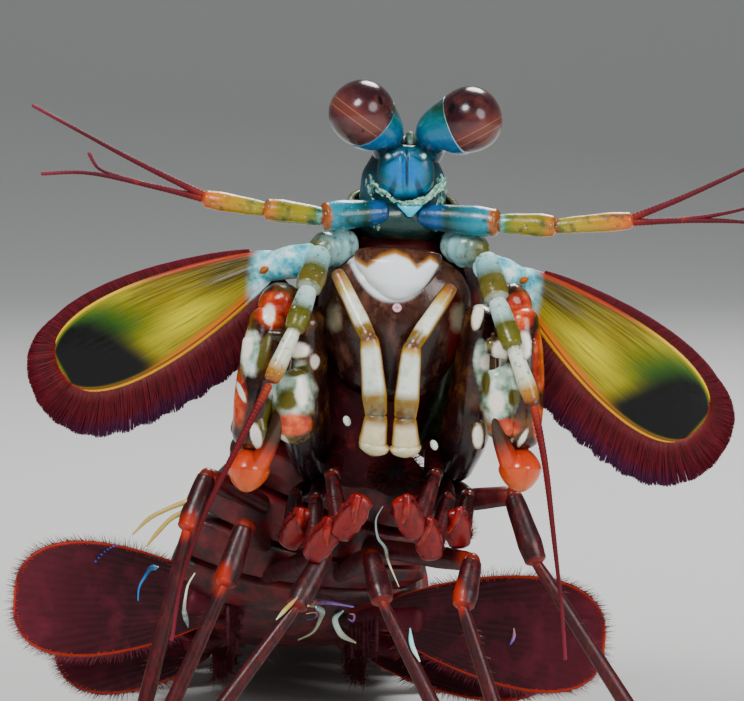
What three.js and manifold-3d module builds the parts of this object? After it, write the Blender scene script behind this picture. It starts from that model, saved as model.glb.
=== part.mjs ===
// A peacock mantis shrimp at life size, reared up over its own abdomen, as a still museum model.
// Millimetres, +Z up. The animal faces -Y, and its left side is towards +X.
// The origin lies on the resting plane, under the flat underside of the telson.

import * as THREE from "three";
import { mergeVertices } from "three/addons/utils/BufferGeometryUtils.js";
import Module from "manifold-3d";

const wasm = await Module();
wasm.setup();

// Driving dimensions.
const gap = 0.3; // clearance between neighbouring pieces
const thinnest = 0.25; // half thickness of the finest blades and whips
const carapaceEnd = 31; // length of the carapace along the body's axis
const thoraxEnd = 51; // where the free thoracic rings end
const bodyEnd = 124; // where the last abdominal ring ends
const carapaceWidth = 26;
const thoraxWidth = 25; // across its first free ring, which the rings behind pass by a little
const abdomenWidth = 27;
const eyeRadius = 3.45;
const fringe = 5; // the longest vanes round an antennal scale
const tier = 0.4; // how far the two tiers of vanes lie before and behind their blade's middle
const legRadius = 1.15;
const telsonWidth = 18;
const telsonLength = 16;
const waist = 0.74; // a joint's thickness against its segment's

const V = (x, y, z) => new THREE.Vector3(x, y, z);
const acrossBody = V(1, 0, 0);
const upward = V(0, 0, 1);
const forward = V(0, -1, 0);

// The body's axis from the front of the head down the upright thorax and back to the telson.
const spine = new THREE.CatmullRomCurve3(
  [
    V(0.4, 1.0, 60),
    V(-0.4, 3.0, 50),
    V(-2.8, 5.5, 40),
    V(-6.4, 9.0, 30),
    V(-10.2, 14.5, 21.0),
    V(-12.2, 24, 14.0),
    V(-12.2, 37, 10.4),
    V(-12.0, 53, 9.6),
    V(-10.8, 69, 9.0),
    V(-8.8, 85, 7.4),
    V(-7.6, 93.4, 5.8),
  ],
  false,
  "centripetal",
);
spine.arcLengthDivisions = 400;
const spineLength = spine.getLength();

// A point of the axis at a length along it.
const onSpine = (length) => spine.getPointAt(length / spineLength);

// A point on or under the body at a length along it: out to one side, and down from the axis.
function under(length, side, out, down) {
  const back = spine.getTangentAt(length / spineLength);
  const belly = back.clone().cross(acrossBody).normalize();
  return onSpine(length).add(V(side * out, 0, 0)).addScaledVector(belly, down);
}

// The midline's x at a height on the upright front of the animal, which leans a little.
function midline(z) {
  const upper = 0.5 + (z - 62.8) * 0.07;
  return z > 30 ? upper : -1.8 - 0.019 * (30 - z) ** 2;
}

// A point beside the midline: side is -1 for the animal's right and 1 for its left.
const beside = (side, out, y, z) => V(midline(z) + side * out, y, z);

// A closed mesh as a solid, with its shared corners merged.
function solid(geometry) {
  geometry.deleteAttribute("normal");
  geometry.deleteAttribute("uv");
  const merged = mergeVertices(geometry, 1e-4);
  return new wasm.Manifold(
    new wasm.Mesh({
      numProp: 3,
      vertProperties: new Float32Array(merged.attributes.position.array),
      triVerts: new Uint32Array(merged.index.array),
    }),
  );
}

const join = (solids) => solids.reduce((whole, piece) => whole.add(piece));

const circle = (angle) => [Math.cos(angle), Math.sin(angle)];

// A closed skin over a row of cross-sections. Each ring has a centre, a direction and a half width
// and half depth, and the skin closes to a pole at each end. The width lies along wide.
function skin(start, rings, end, options = {}) {
  const { wide = acrossBody, sides = 8, grow = 0, section = circle } = options;
  const grid = new THREE.SphereGeometry(1, sides, rings.length + 1);
  const position = grid.attributes.position;
  const setRow = (row, cornerAt) => {
    for (let column = 0; column <= sides; column++) {
      const corner = cornerAt((2 * Math.PI * (column % sides)) / sides);
      position.setXYZ(row * (sides + 1) + column, corner.x, corner.y, corner.z);
    }
  };
  const firstPole = start.clone().addScaledVector(rings[0].along, -grow);
  const lastPole = end.clone().addScaledVector(rings[rings.length - 1].along, grow);
  setRow(0, () => firstPole);
  setRow(rings.length + 1, () => lastPole);
  rings.forEach(({ at, along, size }, i) => {
    const centre = at.clone().addScaledVector(along, grow * ((2 * i) / (rings.length - 1) - 1));
    const across = wide.clone().addScaledVector(along, -wide.dot(along)).normalize();
    const deep = across.clone().cross(along);
    const [halfWidth, halfDepth] = size.map((half) => half + grow);
    setRow(i + 1, (angle) => {
      const [a, b] = section(angle);
      return centre.clone().addScaledVector(across, a * halfWidth).addScaledVector(deep, b * halfDepth);
    });
  });
  const made = solid(grid);
  if (made.volume() < 0) throw new Error("a skin is inside out");
  return made;
}

// A rounded body along a smooth path, with its half width and half depth at even steps in sizes.
function tube(points, sizes, { rows = 6, blunt = 0.8, sides = 8, ...options } = {}) {
  const path =
    points.length === 2
      ? new THREE.LineCurve3(points[0], points[1])
      : new THREE.CatmullRomCurve3(points, false, "centripetal");
  const length = path.getLength();
  const pairs = sizes.map((s) => (Array.isArray(s) ? s : [s, s]));
  const ringAt = (t, fullness) => {
    const step = t * (pairs.length - 1);
    const i = Math.min(Math.floor(step), pairs.length - 2);
    const size = [0, 1].map((k) => THREE.MathUtils.lerp(pairs[i][k], pairs[i + 1][k], step - i));
    return {
      at: path.getPointAt(t),
      along: path.getTangentAt(t),
      size: size.map((half) => half * fullness),
    };
  };
  const longestCap = 0.3;
  const cap = (end) => Math.min((blunt * Math.min(...pairs[end])) / length, longestCap);
  const first = cap(0);
  const last = cap(pairs.length - 1);
  const between = 1 - first - last;
  const rings = Array.from({ length: rows - 1 }, (_, i) => ringAt(first + (between * i) / (rows - 2), 1));
  if (sides > 8) {
    // One more ring on each end rounds the caps of the larger bodies.
    const [inset, narrowed] = [0.29, 0.72];
    rings.unshift(ringAt(inset * first, narrowed));
    rings.push(ringAt(1 - inset * last, narrowed));
  }
  return skin(path.getPointAt(0), rings, path.getPointAt(1), { sides, ...options });
}

// An egg-shaped body between two points.
function bulb(from, to, halfWidth, halfDepth, options = {}) {
  const end = [halfWidth * 0.72, halfDepth * 0.72];
  return tube([from, to], [end, [halfWidth, halfDepth], end], { blunt: 1.1, rows: 5, ...options });
}

// A jointed limb in one skin: each segment is full along its middle and waisted at its joints.
function limb(points, halves, options = {}) {
  const sizes = halves.map((half) => (Array.isArray(half) ? half : [half, half]));
  const runs = sizes.map((_, i) => points[i + 1].clone().sub(points[i]).normalize());
  const rings = [];
  sizes.forEach((size, i) => {
    const before = i ? runs[i - 1] : runs[i];
    const joint = size.map((half, k) => waist * Math.min(half, i ? sizes[i - 1][k] : half));
    const reach = points[i].distanceTo(points[i + 1]);
    const inset = Math.min(1.1 * size[1], 0.3 * reach) / reach;
    const ring = (share, factor) => ({
      at: points[i].clone().lerp(points[i + 1], share),
      along: runs[i],
      size: size.map((half) => factor * half),
    });
    rings.push({ at: points[i], along: before.clone().add(runs[i]).normalize(), size: joint });
    rings.push(ring(inset, 0.9), ring(1 - inset, 1.08));
  });
  const last = sizes.length - 1;
  const end = points[last + 1];
  rings.push({ at: end, along: runs[last], size: sizes[last].map((half) => waist * half) });
  const poleReach = 0.3; // how far the rounded ends stand out, against the segment's depth
  const start = points[0].clone().addScaledVector(runs[0], -poleReach * sizes[0][1]);
  const tip = end.clone().addScaledVector(runs[last], poleReach * sizes[last][1]);
  return skin(start, rings, tip, { sides: 6, ...options });
}

// A whip that tapers evenly from its root to its tip.
const whip = (points, root, options = {}) =>
  tube(points, [root, root * 0.72, root * 0.5, thinnest * 0.9], { sides: 5, rows: 5, ...options });

// The outline of a paddle: how wide it is at a share of its length, from -1 at its root to 1.
const egg = (u) => ((1 - u * u) ** 0.4 * (1 + 0.4 * u)) / 1.083;

// An egg-shaped paddle, widest beyond its middle and lens-shaped in section.
function paddle({ from, to, wide, half, depth }, grow, { rows = 6, sides = 6 } = {}) {
  const along = to.clone().sub(from).normalize();
  const rings = Array.from({ length: rows }, (_, i) => {
    const u = -Math.cos((Math.PI * (i + 0.6)) / (rows + 0.2));
    const at = from.clone().lerp(to, (u + 1) / 2);
    return { at, along, size: [half * egg(u), depth * (1 - 0.5 * u ** 4)] };
  });
  return skin(from, rings, to, { wide, sides, grow });
}

// A point of a paddle's edge. The angle is 0 at its end and positive on the side of wide.
function edgeOf({ from, to, wide, half }, angle) {
  const along = to.clone().sub(from).normalize();
  const across = wide.clone().addScaledVector(along, -wide.dot(along)).normalize();
  const u = Math.cos(angle);
  return from.clone().lerp(to, (u + 1) / 2).addScaledVector(across, Math.sign(angle) * half * egg(u));
}

// Flat tapered vanes round a paddle's edge, rooted inside it, in two tiers that pass each other.
// The reach list holds an angle and the vanes' length there.
function vanes(blade, reach, count, { halfWidth = 1.4, grow = 0, lean = 0 } = {}) {
  const along = blade.to.clone().sub(blade.from).normalize();
  const facing = along.clone().cross(blade.wide).normalize();
  const spread = reach[reach.length - 1][0] - reach[0][0];
  return Array.from({ length: count }, (_, i) => {
    const angle = reach[0][0] + ((i + 0.5) * spread) / count;
    const k = Math.max(1, reach.findIndex(([at]) => at > angle));
    const share = (angle - reach[k - 1][0]) / (reach[k][0] - reach[k - 1][0]);
    const length = THREE.MathUtils.lerp(reach[k - 1][1], reach[k][1], share);
    const rim = edgeOf(blade, angle);
    const edge = edgeOf(blade, angle + 0.02).sub(edgeOf(blade, angle - 0.02)).normalize();
    const out = edge.clone().cross(facing).normalize();
    if (out.dot(rim.clone().sub(blade.from.clone().lerp(blade.to, 0.5))) < 0) out.negate();
    out.addScaledVector(along, lean).normalize();
    const shift = facing.clone().multiplyScalar(i % 2 ? tier : -tier);
    const at = (distance) => rim.clone().addScaledVector(out, distance).add(shift);
    const rings = [
      { at: at(-0.9), along: out, size: [halfWidth * 0.7, thinnest] },
      { at: at(length * 0.55), along: out, size: [halfWidth, thinnest] },
    ];
    return skin(at(-1.5), rings, at(length), { wide: edge, sides: 4, grow });
  });
}

// One stretch of the body along the axis between two lengths.
function bodyStretch(from, to, sizes, options = {}) {
  const steps = 4;
  const points = Array.from({ length: steps + 1 }, (_, i) => onSpine(from + ((to - from) * i) / steps));
  return tube(points, sizes, { sides: 16, rows: 6, ...options });
}

// The section of a ring: a high arched back, a flatter belly and side plates that hang lower.
function ringSection(angle) {
  const [c, s] = circle(angle);
  const across = Math.sign(c) * Math.abs(c) ** 0.8;
  const up = s > 0 ? s ** 0.9 : 0.66 * s;
  return [across, up - 0.2 * Math.abs(c) ** 6];
}

// Flesh and shell of the trunk.

function underbody(grow) {
  const sizes = [[4.6, 4.2], [6.0, 4.8], [6.8, 4.8], [7.0, 4.8]];
  return bodyStretch(3, 34, sizes, { sides: 14, rows: 5, grow });
}

// The carapace: an arched shield over the back and sides, open along the belly.
function carapace(grow) {
  const half = carapaceWidth / 2;
  const shares = [[0.46, 0.45], [0.7, 0.6], [0.9, 0.67], [1, 0.7], [0.98, 0.69]];
  const sizes = shares.map(([wide, deep]) => [half * wide, half * deep]);
  const outer = bodyStretch(0.5, carapaceEnd, sizes, { section: ringSection, grow });
  const points = [0, 11, 22, 33].map((length) => onSpine(length).add(V(0, -6.6, -1.6)));
  const hollow = [[6.2, 4], [9.0, 4.6], [11.4, 4.8], [12.0, 4.8]];
  const belly = tube(points, hollow, { rows: 5, grow: -grow });
  return outer.subtract(belly);
}

const ringBlunt = 0.12; // how round the ends of a ring are
const thoraxDepth = 6.9; // from the axis to the top of the back

// Two free rings of the thorax, with a groove between them.
function thoraxRings(from, to, grow) {
  const half = (thoraxWidth / 2) * (1 + 0.012 * (from - carapaceEnd));
  const sizes = [0.9, 1.0, 0.93, 1.02, 1.03].map((k) => [half * k, thoraxDepth * k]);
  return bodyStretch(from, to, sizes, { section: ringSection, grow, rows: 6, blunt: ringBlunt });
}

const ringCount = 6;
const tuck = 1.6; // how far a ring slides under the one before it
const ringLength = (bodyEnd - thoraxEnd) / ringCount;
const telsonCentre = V(-7.6, 101.5, 0);
const ringScale = [1.0, 1.0, 1.0, 1.0, 0.97, 0.88]; // each ring's width against the widest

// One ring of the abdomen, which tucks under the ring before it.
function abdomenRing(index, grow) {
  const start = thoraxEnd + index * ringLength - tuck;
  const half = (abdomenWidth / 2) * ringScale[index];
  const height = 0.52 * half;
  const sizes = [0.86, 0.93, 0.97, 1, 1.04].map((k) => [half * k, height * k]);
  const shape = { section: ringSection, sides: 14, rows: 4, blunt: ringBlunt };
  return bodyStretch(start, start + ringLength + tuck, sizes, { ...shape, grow });
}

// The telson: a plate with a keeled back and six teeth round its end.
function telson(grow) {
  const centre = telsonCentre;
  const w = telsonWidth / 2 + grow;
  const l = telsonLength / 2 + grow;
  const outline = new THREE.Shape();
  outline.moveTo(-0.72 * w, -l);
  const rightEdge = [
    [-0.98, -0.35], [-1, 0.2], [-0.94, 0.48], [-0.82, 0.4], [-0.76, 0.82],
    [-0.6, 0.66], [-0.36, 1.0], [-0.2, 0.8], [0, 0.74],
  ];
  const leftEdge = rightEdge.slice(0, -1).reverse().map(([x, y]) => [-x, y]);
  [...rightEdge, ...leftEdge, [0.72, -1]].forEach(([x, y]) => outline.lineTo(x * w, y * l));
  outline.closePath();
  const plate = new THREE.ExtrudeGeometry(outline, { depth: 1.6 + 2 * grow, bevelEnabled: false });
  plate.translate(centre.x, centre.y, -grow);
  const keels = [-0.66, -0.35, 0, 0.35, 0.66].map((share) => {
    const from = V(centre.x + share * w * 0.9, centre.y - l * 0.85, 1.9);
    const to = V(centre.x + share * w * 1.05, centre.y + l * (0.75 - 0.25 * Math.abs(share)), 1.5);
    return tube([from, to], [[0.75, 0.9], [0.85, 0.9], [0.3, 0.35]], { sides: 4, rows: 4, grow });
  });
  const back = V(centre.x - 0.2, centre.y - telsonLength * 0.68, 5.0);
  const middle = V(centre.x, centre.y - telsonLength * 0.36, 3.0);
  const front = V(centre.x, centre.y + 1, 1.4);
  const domeSizes = [[8.2, 3.4], [8.0, 2.2], [6.2, 0.7]];
  const dome = tube([back, middle, front], domeSizes, { rows: 4, blunt: 0.3, grow });
  return join([solid(plate), dome, ...keels]);
}

// The head and what it carries.

function head(grow) {
  const path = [V(0.1, 2.2, 54), V(0.3, 0.6, 60), V(0.6, -0.6, 66.2)];
  const sizes = [[4.4, 3.2], [4.7, 3.2], [4.4, 2.8], [2.2, 1.6]];
  return join([
    tube(path, sizes, { sides: 10, rows: 5, grow }),
    bulb(V(-3.4, -2.2, 57.4), V(3.8, -2.2, 57.2), 2.1, 2.0, { wide: upward, grow }),
  ]);
}

// The rounded plate between the eyes, with a low ridge down its middle.
function headShield(grow) {
  const [bottom, top] = [-2.9, 2.9].map((z) => V(0.6, -2.5, 62.4 + z));
  const ridge = [V(0.6, -3.7, 60.2), V(0.6, -4.1, 62.4), V(0.6, -3.6, 64.8)];
  return join([
    bulb(bottom, top, 2.9, 1.5, { sides: 10, rows: 5, blunt: 1.6, grow }),
    tube(ridge, [0.3, 0.36, 0.3], { sides: 6, rows: 4, grow }),
  ]);
}

// Where each eye sits and the way its cornea faces.
const eyes = {
  right: {
    root: V(-1.4, -1.4, 64.2),
    centre: V(-4.0, -4.4, 68.7),
    facing: V(-0.52, -0.45, 0.72).normalize(),
  },
  left: {
    root: V(2.9, -1.2, 64.0),
    centre: V(7.3, -3.6, 68.0),
    facing: V(0.82, -0.3, 0.38).normalize(),
  },
};

function cornea(side, grow) {
  const { centre, facing } = eyes[side];
  const reach = facing.clone().multiplyScalar(eyeRadius * 0.97);
  const r = eyeRadius;
  const bulge = [0.5, 0.93, 1, 0.93, 0.5].map((k) => k * r);
  return tube([centre.clone().sub(reach), centre.clone().add(reach)], bulge, {
    wide: upward,
    sides: 12,
    rows: 6,
    blunt: 0.6,
    grow,
  });
}

// The stalk widens into a cup that holds the cornea.
function eyestalk(side, grow) {
  const { root, centre, facing } = eyes[side];
  const rim = centre.clone().addScaledVector(facing, -0.05 * eyeRadius);
  const throat = centre.clone().addScaledVector(facing, -1.02 * eyeRadius);
  const sizes = [1.4, 1.8, 2.7, 0.93 * eyeRadius, eyeRadius + 0.2];
  return tube([root, throat, rim], sizes, { wide: upward, sides: 12, rows: 5, blunt: 0.1, grow });
}

// Antennules: three ringed segments, then an outer whip and an inner pair that forks.
const antennules = {
  right: {
    stem: [V(-1.6, -2.9, 58.2), V(-8.2, -5.2, 57.9), V(-14.2, -5.5, 58.7), V(-20.6, -5.5, 59.8)],
    upper: [V(-20.2, -5.5, 60.0), V(-28, -6, 63.9), V(-34, -6.6, 67.2), V(-38.3, -7, 69.6)],
    lower: [V(-20.2, -5.5, 59.7), V(-25.5, -5.4, 61.0), V(-33, -5.6, 62.5), V(-37.5, -6, 62.4)],
    fork: [V(-27.2, -5.5, 61.4), V(-29.8, -5.3, 62.2), V(-31.6, -5.2, 63.0), V(-32.6, -5, 64.6)],
  },
  left: {
    stem: [V(2.2, -2.9, 57.8), V(10.4, -5.2, 57.2), V(16.3, -5.5, 56.9), V(24.3, -5.5, 57.5)],
    upper: [V(23.9, -5.5, 57.6), V(29.5, -6, 59.9), V(36.1, -6.6, 63.0), V(42, -7, 66.0)],
    lower: [V(23.9, -5.5, 57.3), V(30, -5.7, 57.5), V(35.5, -6.0, 57.4), V(41.5, -6.6, 56.9)],
    fork: [V(29.2, -5.7, 57.5), V(32.5, -5.6, 58.0), V(36.2, -5.4, 58.8), V(40, -5, 60.4)],
  },
};

function antennule(side, grow) {
  const { stem, upper, lower, fork } = antennules[side];
  const options = { grow, wide: upward };
  return join([
    limb(stem, [1.55, 1.2, 0.98], options),
    whip(upper, 0.5, options),
    whip(lower, 0.5, options),
    whip(fork, 0.36, options),
  ]);
}

// Antennae: a stout base beside the mouth, three banded segments and one long whip.
const antennae = {
  right: {
    stem: [V(-8.4, -4.2, 54.0), V(-9.6, -8.0, 50.4), V(-11.0, -10.8, 46.4), V(-13.4, -12.2, 41.2)],
    whip: [
      V(-13.5, -12.3, 41.0),
      V(-16.9, -12.8, 34.4),
      V(-20.0, -12.5, 28.0),
      V(-22.6, -12.0, 20.8),
      V(-23.8, -11.5, 14),
    ],
  },
  left: {
    stem: [V(9.0, -4.2, 53.4), V(10.1, -8.0, 49.2), V(11.7, -10.8, 44.6), V(13.7, -12.2, 39.0)],
    whip: [
      V(13.8, -12.3, 38.8),
      V(14.9, -12.8, 33.0),
      V(15.9, -12.5, 25.0),
      V(16.8, -12.0, 17.0),
      V(17.2, -11.5, 12),
    ],
  },
};

function antenna(side, grow) {
  const { stem } = antennae[side];
  const sign = side === "left" ? 1 : -1;
  const base = [beside(sign, 4.6, -0.6, 55), beside(sign, 9.2, -4.4, 54)];
  return join([
    bulb(...base, 2.2, 2.0, { wide: upward, sides: 6, grow }),
    limb(stem, [1.45, 1.15, 0.9], { grow }),
  ]);
}

const antennaWhip = (side, grow) => whip(antennae[side].whip, 0.5, { rows: 8, grow });

// Antennal scales: broad paddles with vanes round them, long below and at the end, short above.
const scales = {
  right: { root: V(-7.6, -4.2, 53.9), from: V(-12.4, -3.2, 53.5), to: V(-36.2, -2.4, 41.4) },
  left: { root: V(7.8, -4.2, 53.2), from: V(11.8, -3.2, 52.0), to: V(32.0, -2.4, 35.2) },
};
const scaleReach = [
  [-2.2, 0.1],
  [-1.6, 0.16],
  [-0.7, 0.24],
  [0, 0.6],
  [0.7, 0.94],
  [2.3, 1.0],
  [2.75, 0.6],
];
const scaleVanes = 22;

function antennalScale(side, grow) {
  const { root, from, to } = scales[side];
  const along = to.clone().sub(from).normalize();
  const wide = along.clone().cross(forward).normalize();
  if (wide.z > 0) wide.negate();
  const blade = { from, to, wide, half: 4.9, depth: 0.95 };
  const overlap = 3; // how far the stalk reaches into the blade
  const stalk = bulb(root, from.clone().addScaledVector(along, overlap), 1.9, 1.5, { wide: upward, grow });
  const reach = scaleReach.map(([angle, share]) => [angle, share * fringe]);
  return join([stalk, paddle(blade, grow), ...vanes(blade, reach, scaleVanes, { grow, lean: 0.25 })]);
}

// The face below the antennules: a dome over the mouth with the upper lip bulging from it.
function face(grow) {
  const dome = [V(-0.1, -0.6, 54.4), V(-0.7, -1.6, 47), V(-1.5, -0.4, 38)];
  const domeSizes = [[5.6, 3.2], [8.0, 4.2], [8.2, 4.4], [6.4, 4.0], [4.2, 3.0]];
  const lip = [V(-0.1, -4.0, 54.6), V(-0.3, -4.9, 51.6), V(-0.6, -5.0, 48.9)];
  const lipSizes = [[4.6, 1.0], [4.6, 1.9], [3.2, 1.8], [0.9, 0.9]];
  return join([tube(dome, domeSizes, { sides: 10, rows: 6, grow }), tube(lip, lipSizes, { rows: 5, grow })]);
}

// First maxillipeds: slender banded limbs folded in front of the mouth.
const firstMaxillipeds = {
  right: [V(-6.6, -4.6, 52.0), V(-3.2, -8.0, 45.2), V(-2.5, -8.6, 37.2), V(-3.0, -8.0, 33.6)],
  left: [V(5.4, -4.4, 50.4), V(1.2, -8.0, 44.4), V(0.5, -8.6, 36.9), V(0.6, -8.0, 33.4)],
};

function firstMaxilliped(side, grow) {
  const points = firstMaxillipeds[side];
  return join([
    limb(points, [[0.9, 0.8], [1.25, 0.85], [1.4, 0.95]], { grow }),
    bulb(points[2].clone().add(V(0, 0.2, -2.4)), points[3].clone().add(V(0, 0.2, -0.4)), 1.7, 1.1, { grow }),
  ]);
}

// Raptorial claws, folded upright beside the mouth with the hammer at the bottom.
function clawMerus(side, grow) {
  const path = [beside(side, 7.2, 3.0, 29.8), beside(side, 8.9, -1.2, 38), beside(side, 9.2, -3.6, 48.4)];
  const sizes = [[2.0, 2.6], [2.6, 4.0], [2.7, 4.2], [2.4, 3.2], [1.8, 2.2]];
  return tube(path, sizes, { sides: 8, rows: 5, grow });
}

function clawPropodus(side, grow) {
  const wristEnds = [beside(side, 9.8, -5.0, 49.4), beside(side, 14.2, -6.6, 48.2)];
  const path = [beside(side, 13.0, -6.6, 48.6), beside(side, 13.8, -7.7, 41), beside(side, 14.2, -7.4, 33.6)];
  const sizes = [[1.8, 2.2], [2.2, 2.7], [2.2, 2.7], [1.9, 2.3]];
  return join([
    bulb(...wristEnds, 2.3, 2.4, { wide: upward, grow }),
    tube(path, sizes, { sides: 10, rows: 5, grow }),
  ]);
}

// The dactyl: a swollen hammer at the heel and a spear folded up along the claw.
function clawDactyl(side, grow) {
  const heel = [beside(side, 14.0, -7.6, 34.0), beside(side, 14.4, -8.2, 29.2)];
  const spear = [
    beside(side, 13.6, -9.0, 31.6),
    beside(side, 11.6, -10.6, 36),
    beside(side, 10.7, -10.4, 41.5),
    beside(side, 10.4, -9.4, 46),
  ];
  return join([
    bulb(...heel, 2.3, 2.5, { sides: 10, rows: 5, blunt: 1.5, grow }),
    tube(spear, [[1.5, 1.3], [1.2, 1.0], [0.9, 0.8], [0.3, 0.3]], { sides: 6, rows: 5, grow }),
  ]);
}

// Third to fifth maxillipeds: thin limbs that fold back to a flat oval hand with a hooked finger.
const maxillipeds = [
  { root: [5.0, 3.4, 33.4], elbow: [5.4, -4.6, 30.4], knee: [3.9, -8.4, 24.9], hand: [1.9, -9.6, 29.0] },
  { root: [5.6, 5.0, 30.6], elbow: [7.0, -3.2, 27.8], knee: [6.2, -6.8, 22.4], hand: [4.6, -8.0, 26.4] },
  { root: [6.0, 6.6, 29.0], elbow: [9.2, -0.4, 27.8], knee: [9.0, -3.4, 23.2], hand: [7.8, -4.6, 27.0] },
];

function maxilliped(index, side, grow) {
  const { root, elbow, knee, hand } = maxillipeds[index];
  const [a, b, c, d] = [root, elbow, knee, hand].map(([out, y, z]) => beside(side, out, y, z));
  const finger = [d.clone().add(V(side * 0.6, -0.3, 0.3)), c.clone().add(V(-side * 1.4, -1.2, 1.2))];
  return join([
    limb([a, b, c], [1.0, 0.95], { grow }),
    bulb(c.clone().lerp(d, -0.15), d, 1.6, 0.85, { grow, sides: 6, rows: 4 }),
    tube(finger, [0.55, 0.45, 0.25], { sides: 4, rows: 3, grow }),
  ]);
}

// Walking legs: three pairs of thin jointed limbs, from hip to knee, ankle and foot.
const legs = [
  {
    hip: 36,
    right: [V(-20.5, -1, 30), V(-22.5, -3, 24.5), V(-28.5, -5, 0)],
    left: [V(12, -1, 28), V(14.5, -3, 21), V(28, -6, 0)],
  },
  {
    hip: 41,
    right: [V(-16.5, -4, 25), V(-18.5, -6, 19), V(-27, -9, 0)],
    left: [V(7.6, -5.5, 21.5), V(6.6, -8, 17), V(12, -10, 0)],
  },
  {
    hip: 46,
    right: [V(-8, -5, 22), V(-11, -8, 17), V(-24, -13, 0)],
    left: [V(-3, -5, 22), V(-1.8, -8, 17.5), V(7, -13, 0)],
  },
];

function walkingLeg(index, side, sign, grow) {
  const { hip } = legs[index];
  const [knee, ankle, foot] = legs[index][side];
  const below = foot.clone().lerp(ankle, -0.06);
  const points = [under(hip, sign, 6 - index, 2.6), knee, ankle, below];
  return limb(points, [legRadius, legRadius * 1.1, legRadius * 0.72], { grow });
}

// Pleopods: two thin leaves and a tuft of gills on each, the first pair spread wide beside the body.
const gillCount = 3;
const gillLength = 4.2;
const pleopods = [
  {
    at: 53,
    half: 6.4,
    rise: 1,
    right: [V(-19, 17, 14), V(-42, 9.5, 15.5)],
    left: [V(-2, 17, 12.5), V(22.5, 9.5, 10.5)],
  },
  {
    at: 63,
    half: 5.6,
    rise: 0.5,
    right: [V(-21, 28, 7.4), V(-38.5, 21, 8)],
    left: [V(-3.5, 28, 7.0), V(18, 21, 7)],
  },
  {
    at: 75,
    half: 4.8,
    rise: 0.2,
    right: [V(-21, 42, 5.6), V(-33.5, 46, 3.6)],
    left: [V(-3.5, 42, 5.6), V(9.5, 46, 3.6)],
  },
  {
    at: 87,
    half: 4.6,
    rise: 0.2,
    right: [V(-21, 55, 5.6), V(-33, 59, 3.4)],
    left: [V(-3, 55, 5.6), V(9.5, 59, 3.4)],
  },
  {
    at: 99,
    half: 4.2,
    rise: 0.2,
    right: [V(-19, 68, 5.2), V(-30.5, 72, 3.2)],
    left: [V(-2.4, 68, 5.2), V(9.2, 72, 3.2)],
  },
];

function pleopod(index, side, sign, grow) {
  const { at, half, rise } = pleopods[index];
  const [from, to] = pleopods[index][side];
  const wide = V(0, 1 - rise, 0.25 + rise).normalize();
  const hip = under(at, sign, 5.5, 3.4);
  const outer = { from, to, wide, half, depth: 0.34 };
  const neck = from.clone().lerp(to, 0.2);
  const stem = tube([hip, neck], [[1.7, 1.4], [1.5, 1.1]], { wide, sides: 6, rows: 3, grow });
  const gills = Array.from({ length: gillCount }, (_, i) => {
    const root = hip.clone().lerp(from, 0.35 + (0.5 * i) / (gillCount - 1));
    const tip = root.clone().addScaledVector(wide, -gillLength * (1 - 0.12 * (i % 2))).add(V(0, -1.6, 0));
    return whip([root, tip], 0.42, { sides: 4, rows: 3, grow });
  });
  return join([stem, paddle(outer, grow, { rows: 5 }), ...gills]);
}

// Uropods: a two-pronged base, an outer paddle with spines and an inner one, with vanes behind.
function uropod(sign, grow) {
  const at = (out, back, z) => telsonCentre.clone().add(V(sign * out, back, z));
  const root = at(9.0, -12.5, 4.8);
  const knuckle = at(12.0, -5.5, 2.4);
  const flat = { wide: acrossBody, grow };
  const fine = { halfWidth: 1.25, lean: 0.3 };
  const outer = { from: knuckle, to: at(20.5, 8.5, 0.9), wide: V(-sign, 0, 0), half: 3.5, depth: 0.7 };
  const inner = { from: knuckle, to: at(13.8, 8.5, 0.9), wide: V(-sign, 0, 0), half: 2.5, depth: 0.65 };
  const spines = Array.from({ length: 5 }, (_, i) => {
    const rim = edgeOf(outer, -2.3 + 0.2 * i);
    const lie = V(sign, 1.1, 0);
    const [foot, point] = [-1, 1.2].map((share) => rim.clone().addScaledVector(lie, share));
    return tube([foot, point], [0.45, 0.4, 0.15], { sides: 4, rows: 3, grow });
  });
  const heel = knuckle.clone().add(V(sign * 0.6, 1.4, -0.4));
  return join([
    tube([root, heel], [[1.9, 1.6], [2.5, 1.4]], { ...flat, rows: 4 }),
    tube([knuckle, at(10.6, 3.5, 1.2)], [[1.0, 0.8], [0.3, 0.3]], { ...flat, sides: 6, rows: 4 }),
    paddle(outer, grow, { rows: 5 }),
    paddle(inner, grow, { rows: 5 }),
    ...vanes(outer, [[-1.3, 2.2], [0, 3.2], [1.4, 2.4]], 5, { ...fine, grow }),
    ...vanes(inner, [[-1.4, 2.2], [0, 3.0], [1.2, 2.2]], 4, { ...fine, grow }),
    ...spines,
  ]);
}

// Finishes of the shell, by region.
const finish = (color, roughness = 0.35) =>
  new THREE.MeshStandardMaterial({ color, roughness, metalness: 0 });

const finishes = {
  blueShell: finish("#0d7fa3"),
  cornea: finish("#5c2a33", 0.15),
  oliveShell: finish("#4c5a2a"),
  bandedShell: finish("#b7a25a"),
  paddle: finish("#a99a12"),
  whip: finish("#6a0f26"),
  paleShell: finish("#c9c4a8"),
  brownShell: finish("#4a2b22"),
  hammer: finish("#e2592a"),
  redShell: finish("#9a1422"),
  maroonShell: finish("#3c0d18"),
  leaf: finish("#5a1a30", 0.5),
};

// Every piece in order: a later piece is cut clear of the earlier ones that it touches.
const makers = [];
const piece = (name, material, make) => makers.push({ name, material, make });
const sides = [["right", -1], ["left", 1]];

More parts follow.
